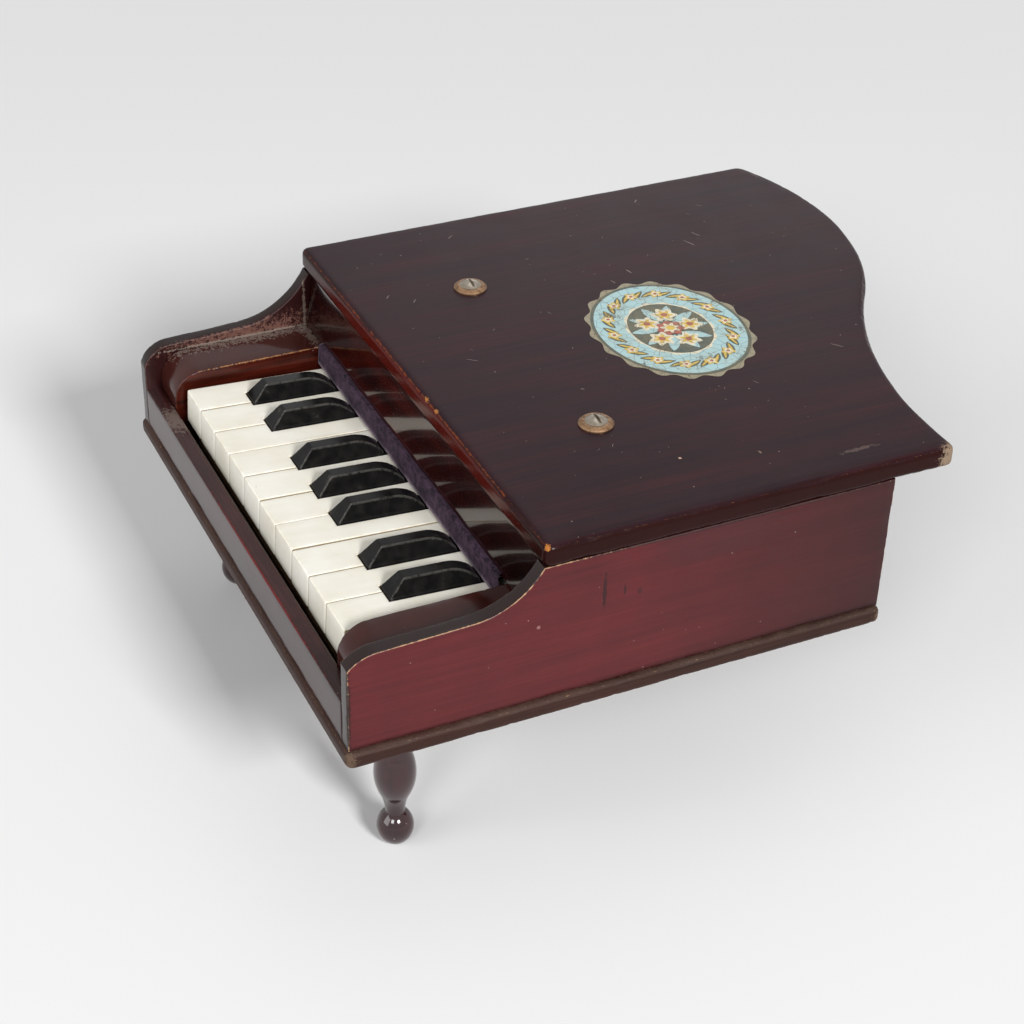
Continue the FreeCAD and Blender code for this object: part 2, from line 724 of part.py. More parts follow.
def build():
    os.makedirs("parts", exist_ok=True)
    heads = white_edges()
    blacks = black_places()
    beside = black_width / 2 + notch_gap
    tails = []
    for index, (left, right) in enumerate(heads):
        stem_left = blacks[index] + beside if index in blacks else left
        stem_right = blacks[index + 1] - beside if index + 1 in blacks else right
        save(f"white_key_{index + 1}", make_white_key(left, right, stem_left, stem_right))
        tails.append((stem_left + stem_right) / 2)
    for number, x in enumerate(blacks.values(), start=1):
        save(f"black_key_{number}", make_black_key(x))
        tails.append(x)
    tails.sort()
    for number, x in enumerate(tails, start=1):
        save(f"hammer_{number}", make_hammer(x))

    screw_places = [screw_shift - screw_spacing / 2, screw_shift + screw_spacing / 2]
    save("tone_rods", make_rods(tails))
    save("sound_bar", make_sound_bar(tails, screw_places))
    save("lid", make_lid(screw_places))
    save("lid_screws", Part.makeCompound([make_screw(x) for x in screw_places]))
    save("lid_washers", Part.makeCompound([make_washer(x) for x in screw_places]))

    leg_x = case_half - leg_inset_side
    leg_places = {
        "leg_front_left": (-leg_x, leg_inset_front),
        "leg_front_right": (leg_x, leg_inset_front),
        "leg_rear": (0, case_depth - rear_leg_inset),
    }
    for name, (x, y) in leg_places.items():
        save(name, make_leg(x, y))
    save("base_board", make_base(leg_places.values()))
    save("side_panel_left", make_side_panel(
        -1, arm_height_left, arm_nose_radius_left, arm_sweep_radius_left))
    save("side_panel_right", make_side_panel(
        1, arm_height_right, arm_nose_radius_right, arm_sweep_radius_right))
    save("cheek_left", make_cheek(-1))
    save("cheek_right", make_cheek(1))
    save("front_rail", make_front_rail())
    save("nameboard", make_nameboard())
    save("nameboard_felt", make_nameboard_felt())
    save("back_panel", block(-inner_half, inner_half, back_inner_y, case_depth, base_top, lid_under))

    key_wire_end = cheek_inner + key_wire_seat
    save("key_wire", cylinder_x(key_wire_radius, -key_wire_end, key_wire_end, key_pivot_y, key_pivot_z))
    hammer_wire_end = cheek_inner + hammer_block_width
    save("hammer_wire", cylinder_x(hammer_wire_radius, -hammer_wire_end, hammer_wire_end,
                                   hammer_pivot_y, hammer_pivot_z))
    save("hammer_rail", make_hammer_rail())
    stop_rail, stop_felt = make_rail_and_felt(stop_rail_y, stop_rail_depth, stop_felt_top())
    save("key_stop_rail", stop_rail)
    save("key_stop_felt", stop_felt)
    rest_rail, rest_felt = make_rail_and_felt(rest_rail_y, rest_rail_depth, rest_felt_top())
    save("key_rest_rail", rest_rail)
    save("key_rest_felt", rest_felt)
    print("footprint middle", footprint_middle_y, "key turn", math.degrees(key_turn),
          "hammer ratio", hammer_ratio, "hammer pivot z", hammer_pivot_z, "key pivot z", key_pivot_z)


build()
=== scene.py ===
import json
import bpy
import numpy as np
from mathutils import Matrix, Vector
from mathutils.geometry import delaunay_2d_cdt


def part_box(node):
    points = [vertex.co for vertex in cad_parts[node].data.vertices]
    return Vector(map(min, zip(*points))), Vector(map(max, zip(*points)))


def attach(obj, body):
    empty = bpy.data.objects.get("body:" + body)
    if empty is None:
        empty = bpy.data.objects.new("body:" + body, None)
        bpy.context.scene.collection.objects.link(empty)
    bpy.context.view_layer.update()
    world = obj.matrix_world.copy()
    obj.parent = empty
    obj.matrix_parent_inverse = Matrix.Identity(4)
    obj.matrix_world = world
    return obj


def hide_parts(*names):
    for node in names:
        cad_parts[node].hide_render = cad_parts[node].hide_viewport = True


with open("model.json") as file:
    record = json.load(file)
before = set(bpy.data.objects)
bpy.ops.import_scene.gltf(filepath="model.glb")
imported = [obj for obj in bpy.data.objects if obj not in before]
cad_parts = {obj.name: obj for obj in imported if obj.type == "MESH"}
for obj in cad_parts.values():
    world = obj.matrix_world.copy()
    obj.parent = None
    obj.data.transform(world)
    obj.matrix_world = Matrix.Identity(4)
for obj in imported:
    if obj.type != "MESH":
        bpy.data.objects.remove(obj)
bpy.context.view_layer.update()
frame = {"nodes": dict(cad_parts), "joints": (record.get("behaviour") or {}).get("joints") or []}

# %% [markdown]
# A toy grand piano, dressed over its construction model.
# The construction model gives every piece its place and its motion. This lesson gives each piece that
# is seen a finer surface, with eased and nicked edges, and a finish that starts from the real material.
# Lengths in the code are millimetres, measured as a maker would at the bench: x from the middle of the
# keyboard, y backwards from the front of the case and z up from the floor.

MM = 0.001
CASE_FRONT = np.array([0.0, 138.4, 0.0])
scene = bpy.context.scene

# %% [markdown]
# The camera stands to the right of the keyboard and looks down on the lid.
# A camera is set either by rotation angles or by a matrix. The matrix is used here because the view has
# three separate facts: a heading, a downward pitch and a slight roll. Each becomes one line.

# %% Camera
LENS_MM = 75.17
SENSOR_MM = 36.0
CAMERA_PLACE = (0.59996, -0.32347, 0.52227)
heading, pitch, roll = np.radians([63.847, 34.379, 1.881])
forward = np.array([-np.sin(heading) * np.cos(pitch), np.cos(heading) * np.cos(pitch), -np.sin(pitch)])
level_right = np.array([np.cos(heading), np.sin(heading), 0.0])
level_up = np.cross(level_right, forward)
right = np.cos(roll) * level_right + np.sin(roll) * level_up
up = np.cos(roll) * level_up - np.sin(roll) * level_right
stand = np.eye(4)
stand[:3, :] = np.stack([right, up, -forward, CAMERA_PLACE], 1)
camera_data = bpy.data.cameras.new("camera")
camera_data.lens = LENS_MM
camera_data.sensor_width = SENSOR_MM
camera = bpy.data.objects.new("camera", camera_data)
camera.matrix_world = Matrix(stand.tolist())
scene.collection.objects.link(camera)
scene.camera = camera
print("camera looks along", np.round(forward, 3))

# %% [markdown]
# Colours are written as sRGB hex values, the way a paint chart or a screen gives them, and Blender's
# shaders count in linear light. One function turns the first into the second.
# A second function fills in a node's sockets, and a third adds a node with its settings and its links, so
# that a finish below reads as a list of what lies on the surface.

# %% Colour and node helpers
def linear(hex_colour):
    """Linear red, green, blue and alpha: each sRGB channel c becomes ((c + 0.055) / 1.055) to the 2.4."""
    channels = np.array([int(hex_colour[i:i + 2], 16) for i in (1, 3, 5)]) / 255
    bright = ((channels + 0.055) / 1.055) ** 2.4
    return (*np.where(channels <= 0.04045, channels / 12.92, bright).tolist(), 1.0)


def fill(tree, node, inputs):
    """Each input of a node, by name or number, gets a value or a link from another node's output."""
    for socket, value in inputs.items():
        if isinstance(value, bpy.types.NodeSocket):
            tree.links.new(value, node.inputs[socket])
        else:
            node.inputs[socket].default_value = value


def add(tree, kind, inputs=None, **settings):
    """One new shader node with its settings, its inputs' values and its links."""
    node = tree.nodes.new("ShaderNode" + kind)
    for key, value in settings.items():
        setattr(node, key, value)
    fill(tree, node, inputs or {})
    return node


def per_mm(*sizes):
    """Texture scale that gives a pattern features of these sizes in mm."""
    scales = [1 / (size * MM) for size in sizes]
    return scales[0] if len(scales) == 1 else scales


def new_finish(name):
    """A material with only its Principled surface, and the node tree around it."""
    finish = bpy.data.materials.new(name)
    finish.use_nodes = True
    return finish, finish.node_tree, finish.node_tree.nodes["Principled BSDF"]


print("mid grey #808080 is", round(linear("#808080")[0], 3), "in linear light")

# %% [markdown]
# The floor is a plain pale sheet of board, and its far parts melt into a pale backdrop.
# A curved sheet could stand behind the piano for that, but it would throw light back on it. This backdrop is
# shown only to the camera and to shiny surfaces, so it adds none.

# %% Floor and backdrop
FLOOR_HALF = 2.0
FADE_START, FADE_END = 0.5, 1.2
FLOOR_COLOUR = "#e6e6e6"
ROOM_COLOUR = "#ffffff"
BACKDROP_STRENGTH = 0.78


def backdrop_rays(tree):
    """One for rays from the camera, from a shiny surface or through glass, and zero for all others."""
    path = add(tree, "LightPath").outputs
    shown = add(tree, "Math", {0: path["Is Camera Ray"], 1: path["Is Glossy Ray"]}, operation="MAXIMUM")
    shown = add(tree, "Math", {0: shown.outputs[0], 1: path["Is Transmission Ray"]}, operation="MAXIMUM")
    return shown.outputs[0]


def put_floor():
    """A square sheet at height zero. Where the backdrop is shown, the far parts melt into it."""
    half = FLOOR_HALF
    mesh = bpy.data.meshes.new("floor")
    corners = [(-half, -half, 0), (half, -half, 0), (half, half, 0), (-half, half, 0)]
    mesh.from_pydata(corners, [], [(0, 1, 2, 3)])
    finish, tree, surface = new_finish("pale_board_floor")
    fill(tree, surface, {"Base Color": linear(FLOOR_COLOUR), "Roughness": 1.0, "Specular IOR Level": 0.0})
    place = add(tree, "TexCoord").outputs["Object"]
    away = add(tree, "VectorMath", {0: place}, operation="LENGTH").outputs["Value"]
    faded = add(tree, "MapRange", {0: away, 1: FADE_START, 2: FADE_END}, interpolation_type="SMOOTHSTEP")
    faded = add(tree, "Math", {0: faded.outputs[0], 1: backdrop_rays(tree)}, operation="MULTIPLY").outputs[0]
    backdrop = add(tree, "Emission", {"Color": linear(ROOM_COLOUR), "Strength": BACKDROP_STRENGTH})
    blend = add(tree, "MixShader", {0: faded, 1: surface.outputs[0], 2: backdrop.outputs[0]})
    fill(tree, tree.nodes["Material Output"], {"Surface": blend.outputs[0]})
    mesh.materials.append(finish)
    floor = bpy.data.objects.new("floor", mesh)
    scene.collection.objects.link(floor)


put_floor()
print("floor is", 2 * FLOOR_HALF, "m wide")

# %% [markdown]
# The light is that of a soft studio.
# The main lamp stands low on the treble side, so the red side board is fully lit and the shadow falls away
# to the bass side. A second one, beside the camera, throws its shadow behind the piano, and a low one in
# front lights the ends of the keys. A faint one far behind stands for the bright middle of a pale wall,
# because a satin lid seen at this angle mirrors whatever is behind it, and a wide one overhead opens the
# shadow. Together they light a level surface to about one, so a colour renders about as it is written.

# %% Lamps and room
ROOM_STRENGTH = 0.22
# Each lamp has its place and its width in metres and its power in watts, and faces the middle of the piano.
LAMPS = {
    "treble_lamp": ((4.8, 0.4, 3.0), 1.2, 305.0),
    "camera_lamp": ((3.1, -2.9, 2.8), 1.5, 82.0),
    "player_lamp": ((0.4, -3.6, 1.5), 2.4, 60.0),
    "ceiling_lamp": ((-0.9, 1.0, 3.6), 2.5, 12.0),
    "wall_glow": ((-2.2, 1.25, 1.0), 1.0, 2.3),
}
PIANO_MIDDLE = Vector((0, 0, 0.08))


def put_lamp(name, place, size, power):
    """A square soft lamp that faces the middle of the piano."""
    lamp_data = bpy.data.lights.new(name, "AREA")
    lamp_data.size = size
    lamp_data.energy = power
    lamp = bpy.data.objects.new(name, lamp_data)
    lamp.location = place
    lamp.rotation_euler = (PIANO_MIDDLE - lamp.location).to_track_quat("-Z", "Y").to_euler()
    scene.collection.objects.link(lamp)


for lamp_name, (place, size, power) in LAMPS.items():
    put_lamp(lamp_name, place, size, power)
room = bpy.data.worlds.new("room")
room.use_nodes = True
# The walls light the piano less strongly than they show.
strength = add(room.node_tree, "MapRange", {0: backdrop_rays(room.node_tree), 3: ROOM_STRENGTH,
                                            4: BACKDROP_STRENGTH}).outputs[0]
fill(room.node_tree, room.node_tree.nodes["Background"], {"Color": linear(ROOM_COLOUR), "Strength": strength})
scene.world = room
scene.view_settings.view_transform = "Standard"
print("lamps:", list(LAMPS))

# %% [markdown]
# Nearly every wooden piece of this piano is a board: an outline cut with a saw, a thickness, and edges
# eased with sandpaper. A cube with a Bevel modifier could stand for some of them, but not for the lid's
# tail or the arms' sweep. So one function carries an edge profile round any closed outline.
# Each point also keeps its distance from the nearest arris, which is the line where two faces meet.
# The finishes read that distance to wear the colour off where hands and dusters have rubbed.

# %% Outlines
def arc(centre, radius, start, end, count):
    """Points round a centre from one angle to another, in degrees."""
    turn = np.radians(np.linspace(start, end, count))
    return np.asarray(centre) + radius * np.stack([np.cos(turn), np.sin(turn)], 1)


def eased(before, corner, after, ease, count=7):
    """A corner drawn as a quadratic curve that starts and ends at a distance of ease from it."""
    before, corner, after = (np.asarray(p, float) for p in (before, corner, after))
    start = corner + ease * (before - corner) / np.linalg.norm(before - corner)
    end = corner + ease * (after - corner) / np.linalg.norm(after - corner)
    t = np.linspace(0, 1, count)[:, None]
    return (1 - t) ** 2 * start + 2 * t * (1 - t) * corner + t ** 2 * end


def eased_polygon(corners, ease):
    """A closed polygon with every corner eased."""
    count = len(corners)
    return np.concatenate([eased(corners[i - 1], corners[i], corners[(i + 1) % count], ease)
                           for i in range(count)])


def spread(outline, step):
    """The same closed outline with points added along its sides, at most one step apart."""
    ahead = np.roll(outline, -1, 0)
    counts = np.maximum(1, np.ceil(np.linalg.norm(ahead - outline, axis=1) / step)).astype(int)
    side = np.repeat(np.arange(len(outline)), counts)
    share = (np.arange(counts.sum()) - np.repeat(np.cumsum(counts) - counts, counts)) / counts[side]
    return outline[side] + share[:, None] * (ahead - outline)[side]


def inward(outline):
    """Steps into an anticlockwise outline: the mean of two sides' normals, lengthened so both move by one."""
    ahead = np.roll(outline, -1, 0) - outline
    normal = np.stack([-ahead[:, 1], ahead[:, 0]], 1) / np.linalg.norm(ahead, axis=1, keepdims=True)
    before = np.roll(normal, 1, 0)
    return (normal + before) / (1 + (normal * before).sum(1, keepdims=True))


print("an eased corner has", len(eased((0, 0), (9, 0), (9, 9), 2)), "points")

# %% [markdown]
# Nothing made by hand is quite straight. Unevenness here is a few sine waves of about one size that run in
# all directions, so it is smooth however close the points stand. Blender has noises for this too, but sines
# work on a whole array of points at once.

# %% Unevenness
# This many sine waves, of these shares of the size asked for, have their mean scaled up by the gain.
WAVES, WAVE_SHARES, WAVE_GAIN = 6, (0.6, 1.6), 1.8


def waver(points, size, seed):
    """Smooth unevenness of about -1 to 1: the scaled mean of six sine waves of about one size in mm."""
    rng = np.random.default_rng(seed)
    ways = rng.normal(size=(WAVES, points.shape[1]))
    ways /= np.linalg.norm(ways, axis=1, keepdims=True)
    waves = 2 * np.pi / (size * rng.uniform(*WAVE_SHARES, WAVES))
    return WAVE_GAIN * np.sin(points @ (ways * waves[:, None]).T + rng.uniform(0, 2 * np.pi, WAVES)).mean(1)


print("unevenness at one place is", waver(np.zeros((1, 2)), 10, 1).round(2))

# %% [markdown]
# A board's edge is drawn in section first: a quarter circle, the wall and another quarter circle.
# Its flat faces are closed with triangles. A face could be a single polygon of many sides, but then no wear
# could fade inwards from its arris, so points stand inside its rim.

# %% Edge and face of a board
ROUND_ROWS, WALL_ROWS = 7, 3
INSIDE_ONLY, MERGE_WITHIN = 1, 1e-5


def edge_profile(thickness, radii):
    """Rows of (inset, height, distance from the arris) down an edge: a quarter circle, the wall, another."""
    turn = np.linspace(0, np.pi / 2, ROUND_ROWS)
    upper, lower = (np.stack([radius * (1 - np.sin(turn)), radius * (1 - np.cos(turn)),
                              radius * abs(turn - np.pi / 4)], 1) for radius in radii)
    upper[:, 1] = thickness - upper[:, 1]
    far = np.linspace(0, 1, WALL_ROWS + 2)[1:-1]
    wall = thickness - sum(radii)
    away = wall * np.minimum(far, 1 - far) + np.mean(radii) * np.pi / 4
    side = np.stack([0 * far, upper[-1, 1] - wall * far, away], 1)
    return np.concatenate([upper, side, lower[::-1]])


def grid_quads(rows, columns, wrap):
    """Quads between neighbouring rows and columns of a grid. Wrap joins the last column to the first."""
    row, column = np.meshgrid(np.arange(rows - 1), np.arange(columns - (not wrap)), indexing="ij")
    beside = (column + 1) % columns
    low, high = row * columns, (row + 1) * columns
    return np.stack([low + column, high + column, high + beside, low + beside], -1).reshape(-1, 4)


def inner_points(ring, spacing=3.0, rim=8.0, clear=0.4):
    """A lattice inside a ring as far as rim from it, and each point's distance from the ring.

    A point is inside if a line from it to the right crosses the ring an odd number of times. None is nearer
    to the ring than clear times the spacing.
    """
    spots = np.stack(np.meshgrid(*(np.arange(low + spacing / 2, high, spacing)
                                   for low, high in zip(ring.min(0), ring.max(0)))), -1).reshape(-1, 1, 2)
    along = np.roll(ring, -1, 0) - ring
    crosses = (ring[:, 1] > spots[..., 1]) != ((ring + along)[:, 1] > spots[..., 1])
    drop = np.where(along[:, 1] == 0, 1, along[:, 1])
    meets = ring[:, 0] + (spots[..., 1] - ring[:, 1]) / drop * along[:, 0]
    inside = (crosses & (spots[..., 0] < meets)).sum(1) % 2
    share = np.clip(((spots - ring) * along).sum(-1) / (along ** 2).sum(-1), 0, 1)
    away = np.linalg.norm(spots - ring - share[..., None] * along, axis=-1).min(1)
    keep = (inside == 1) & (away > clear * spacing) & (away < rim)
    return spots[keep, 0], away[keep]


def close_face(ring, inner):
    """Triangles that fill a ring, through its inner points, by a constrained Delaunay division."""
    sides = [(i, (i + 1) % len(ring)) for i in range(len(ring))]
    corners = [Vector(point) for point in np.concatenate([ring, inner])]
    found = delaunay_2d_cdt(corners, sides, [], INSIDE_ONLY, MERGE_WITHIN)
    source = np.array([origins[0] for origins in found[3]])
    return source[np.array(found[2])]


print("an edge has", len(edge_profile(8, (2, 2))), "rows")

# %% [markdown]
# The section is carried round the outline, as a router carries its cutter round a board. Use has dented the
# arrises, so seeded unevenness presses small and broad dents into them. A Displace modifier could do that
# too, but it would move the flat faces with the arrises.

# %% Boards
# Dents of two sizes in mm. The second number is how high the unevenness rises before it makes a dent.
DENTS = ((4, 0.35), (23, 0.2))
DENT_REACH = 1.2
# The two directions of a board's outline, then the way that its thickness goes.
LYING = ((1, 0, 0), (0, 1, 0), (0, 0, 1))
SIDEWAYS = ((0, 1, 0), (0, 0, 1), (1, 0, 0))
FACING_PLAYER = ((1, 0, 0), (0, 0, 1), (0, -1, 0))
FACING_TAIL = ((-1, 0, 0), (0, 0, 1), (0, 1, 0))


def board(outline, thickness, radii, place, axes, nicks=0.0, seed=1):
    """An edge profile carried round a closed outline, and closed with a flat face above and below.

    A point is place + inset outline on the first two axes + height on the third. Nicks is the depth in mm
    of the dents that seeded unevenness presses into the arrises.
    """
    inset, height, arris = edge_profile(thickness, radii).T
    dents = sum(np.clip(waver(outline, size, seed + number) - start, 0, 1)
                for number, (size, start) in enumerate(DENTS))
    dents = nicks * dents * np.clip(1 - arris / DENT_REACH, 0, 1)[:, None]
    rows, columns = dents.shape
    flat = outline + (inset[:, None] + dents)[..., None] * inward(outline)
    rise = height[:, None] - dents * np.where(height > thickness / 2, 1, -1)[:, None]
    points = [np.concatenate([flat, rise[..., None]], -1).reshape(-1, 3)]
    away = [np.repeat(arris, columns)]
    faces = grid_quads(rows, columns, True).tolist()
    for row, level, turn in ((0, thickness, 1), (rows - 1, 0.0, -1)):
        inner, distance = inner_points(flat[row])
        count = sum(map(len, points))
        number = np.concatenate([row * columns + np.arange(columns), count + np.arange(len(inner))])
        faces += number[close_face(flat[row], inner)][:, ::turn].tolist()
        points.append(np.column_stack([inner, np.full(len(inner), level)]))
        away.append(distance + arris[row])
    return np.asarray(place) + np.concatenate(points) @ np.asarray(axes, float), faces, np.concatenate(away)


block = board(np.array([(0, 0), (9, 0), (9, 9), (0, 9)], float), 9.0, (1.0, 1.0), (0, 0, 0), LYING)
print("a small block has", len(block[1]), "faces")

# %% [markdown]
# A piece of the scene is a mesh with a name, a finish and the body of the piano that it moves with.
# Blender's Add Mesh operators could make one, but they depend on the mode and the selection. Points and
# faces handed straight to a mesh come out the same wherever the script runs.

# %% Pieces
SHARP_ANGLE = np.radians(40)
# The distance in mm that is given to surfaces with no arris near them.
NO_ARRIS = 9.0


def box_mm(node):
    """Lowest and highest corner of a construction piece, in bench millimetres."""
    return [np.array(corner) / MM + CASE_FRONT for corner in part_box(node)]


def add_piece(name, shape, finish, body, nodes=()):
    """A mesh object from points in bench millimetres, faces and each point's distance from an arris."""
    points, faces, arris = shape
    mesh = bpy.data.meshes.new(name)
    mesh.from_pydata(((points - CASE_FRONT) * MM).tolist(), [], faces)
    mesh.attributes.new("arris", "FLOAT", "POINT").data.foreach_set("value", arris.astype(np.float32))
    mesh.shade_smooth()
    mesh.set_sharp_from_angle(angle=SHARP_ANGLE)
    mesh.materials.append(finish)
    piece = bpy.data.objects.new(name, mesh)
    scene.collection.objects.link(piece)
    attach(piece, body)
    if nodes:
        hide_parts(*nodes)
    return piece


print("the lid spans", np.round(np.subtract(*box_mm("lid")[::-1]), 1), "mm")

# %% [markdown]
# The case is stained hardwood, brushed with a red-brown spirit varnish some eighty years ago.
# Grain shows as streaks along each board, the varnish has gone mottled, and it is worn through to pale
# wood along the arrises. Dust has settled into the corners where a cloth doesn't reach.
# An image texture could show all that, but it would belong to one board. Noise read from the piece's own
# coordinates, drawn out along the grain, gives every board its own figure at the right size.

# %% Layers of the wood
# Size along and across the grain in mm, and detail. Figure is the broad growth bands, streak the fibres,
# drawn coarser than they are so that they show, and pore the vessels that the plane has cut open.
GRAIN = {"figure": (150, 11, 3), "streak": (40, 0.9, 4), "pore": (7, 0.45, 1)}
# Size in mm and detail of the layers that lie the same in all directions.
CLOUDS = {"mottle": (22, 5), "rub": (8, 6), "grit": (1.5, 3), "fine": (0.5, 2), "orange_peel": (2.6, 1)}
GRAIN_HARSHNESS, CLOUD_HARSHNESS = 0.6, 0.62


def wood_noises(tree, place, grain):
    """Noise by layer: the grain layers are drawn out along one axis, 0 to 2 for x to z."""
    noises = {}
    for layer, (along, across, detail) in GRAIN.items():
        sizes = [across] * 3
        sizes[grain] = along
        drawn = add(tree, "Mapping", {"Vector": place, "Scale": per_mm(*sizes)}).outputs[0]
        noises[layer] = add(tree, "TexNoise", {"Vector": drawn, "Scale": 1.0, "Detail": detail,
                                               "Roughness": GRAIN_HARSHNESS}).outputs["Fac"]
    for layer, (size, detail) in CLOUDS.items():
        noises[layer] = add(tree, "TexNoise", {"Vector": place, "Scale": per_mm(size), "Detail": detail,
                                               "Roughness": CLOUD_HARSHNESS}).outputs["Fac"]
    return noises


def laid(tree, share, colour, rough, new_colour, new_rough=None):
    """A colour, and a roughness if given, laid over those below by a share of nought to one at each place."""
    colour = add(tree, "Mix", {0: share, 6: colour, 7: linear(new_colour)}, data_type="RGBA").outputs[2]
    if new_rough is not None:
        rough = add(tree, "Mix", {0: share, 2: rough, 3: new_rough}).outputs[0]
    return colour, rough


print("layers of the wood:", [*GRAIN, *CLOUDS])

# %% [markdown]
# Lint lies on old varnish. A fleck is a dot in the middle of some cells of a Voronoi pattern. For hairs and
# scratches the cells are drawn out long, and bent by a broad noise so that they lie in all directions.
# Particles could be scattered instead, but lint has no height that shows at this size.

# %% Lint and hairs
LINT_COLOUR = "#b9aaa0"
SPECK_SPACING = 5
# A hair's turn in radians, then the length and the width in mm of the cell that it lies in.
HAIRS = ((0.5, 90, 6), (2.3, 60, 6), (0.0, 8, 8))
HAIR_BEND, HAIR_BEND_SIZE = 28, 35


def scattered(tree, cells, rare, largest, strength, colour):
    """Lint over a colour: a cell's dot grows from none, at a random number of rare, to the largest at one."""
    some = add(tree, "SeparateColor", {0: cells.outputs["Color"]}).outputs[0]
    size = add(tree, "MapRange", {0: some, 1: rare, 2: 1.0, 3: 0.0, 4: largest}).outputs[0]
    dot = add(tree, "Math", {0: cells.outputs["Distance"], 1: size}, operation="LESS_THAN").outputs[0]
    dot = add(tree, "Math", {0: dot, 1: strength}, operation="MULTIPLY").outputs[0]
    return add(tree, "Mix", {0: dot, 6: colour, 7: linear(LINT_COLOUR)}, data_type="RGBA").outputs[2]


def hairs_over(tree, place, upward, colour):
    """Hairs and scratches over a colour, on surfaces as far as they face upward."""
    bend = add(tree, "TexNoise", {"Vector": place, "Scale": per_mm(HAIR_BEND_SIZE)}).outputs["Color"]
    bent = add(tree, "VectorMath", {0: bend, 1: (HAIR_BEND * MM,) * 3, 2: place}, operation="MULTIPLY_ADD")
    for turn, long, across in HAIRS:
        turned = add(tree, "Mapping", {"Vector": bent.outputs[0], "Rotation": (0, 0, turn),
                                       "Scale": (long * MM, across * MM, 1)}, vector_type="TEXTURE")
        cells = add(tree, "TexVoronoi", {"Vector": turned.outputs[0], "Scale": 1.0}, voronoi_dimensions="2D")
        colour = scattered(tree, cells, 0.8, 0.03, upward, colour)
    return colour


print("hairs lie in", len(HAIRS), "layers, and specks about", SPECK_SPACING, "mm apart or more")

# %% [markdown]
# Three more things are laid on, and each is a share that a colour is laid on by. Dust lies on what faces
# it and wear starts at the arris, as age brings them. A single mark, such as a chip, a stain or a patch of
# painted shade, is an ellipsoid with a ragged rim.

# %% Dust, wear and marks
BARE_ROUGHNESS, DUST_ROUGHNESS = 0.65, 0.85
# A mark no more ragged than this is a stain or painted shade under sound varnish, and a more ragged one is
# dust or worn wood.
STAIN_OR_SHADE_ONLY = 0.3


def dust_share(tree, noises, facing, side, strength):
    """Dust on surfaces that face a side, in patches where two noises are high."""
    toward = add(tree, "Math", {0: facing, 1: side}, operation="MULTIPLY").outputs[0]
    toward = add(tree, "MapRange", {0: toward, 1: 0.3, 2: 0.8, 3: 0.0, 4: strength}).outputs[0]
    patchy = add(tree, "Mix", {0: 0.5, 2: noises["rub"], 3: noises["fine"]}).outputs[0]
    patchy = add(tree, "MapRange", {0: patchy, 1: 0.38, 2: 0.58}).outputs[0]
    return add(tree, "Math", {0: toward, 1: patchy}, operation="MULTIPLY").outputs[0]


def wear_share_at(tree, noises, wear, start):
    """Bare wood where the reach of the wear in mm, from a noise above start, is past the arris's distance."""
    arris = add(tree, "Attribute", attribute_name="arris").outputs["Fac"]
    reach = add(tree, "MapRange", {0: noises["rub"], 1: start, 2: start + 0.16, 3: 0.0, 4: wear}).outputs[0]
    grit = add(tree, "MapRange", {0: noises["grit"], 1: 0.3, 2: 0.7, 3: -0.7 * wear, 4: 0.7 * wear})
    reach = add(tree, "Math", {0: reach, 1: grit.outputs[0]}, operation="ADD").outputs[0]
    depth = add(tree, "Math", {0: reach, 1: arris}, operation="SUBTRACT").outputs[0]
    return add(tree, "MapRange", {0: depth, 1: 0.0, 2: 0.15, 3: 0.0, 4: 0.9}).outputs[0]


def mark_share(tree, place, noises, middle, radii, strength, ragged):
    """An ellipsoid in bench mm, whose distance from the middle is made uneven by two fine noises."""
    middle = (np.array(middle) - CASE_FRONT) * MM
    away = add(tree, "VectorMath", {0: place, 1: middle}, operation="SUBTRACT").outputs[0]
    away = add(tree, "VectorMath", {0: away, 1: np.array(radii) * MM}, operation="DIVIDE").outputs[0]
    away = add(tree, "VectorMath", {0: away}, operation="LENGTH").outputs["Value"]
    torn = add(tree, "Mix", {0: 0.5, 2: noises["grit"], 3: noises["fine"]}).outputs[0]
    torn = add(tree, "MapRange", {0: torn, 1: 0.35, 2: 0.65, 3: -ragged, 4: ragged}).outputs[0]
    away = add(tree, "Math", {0: away, 1: torn}, operation="ADD").outputs[0]
    return add(tree, "MapRange", {0: away, 1: 1.0, 2: 0.75, 3: 0.0, 4: strength}).outputs[0]


print("roughness of bare wood is", BARE_ROUGHNESS, "and of dust", DUST_ROUGHNESS)

# %% [markdown]
# The whole finish is those layers in this order: grain and stain, then any darkening along an axis, which
# paints shade on the treble side and the nameboard, then lint, dust, wear, and single marks last, some of
# which are painted shade. The layers of age lie in the order in which they came to be. The surface itself is
# varnish: IOR 1.5, a satin roughness that follows the mottling, and a fine ripple from the brush.

# %% Stained wood
# Hands polish the edges, so they are this much smoother than the faces.
EDGE_POLISH = 0.6
VARNISH_IOR = 1.5
RIPPLE_DEPTH = 0.06


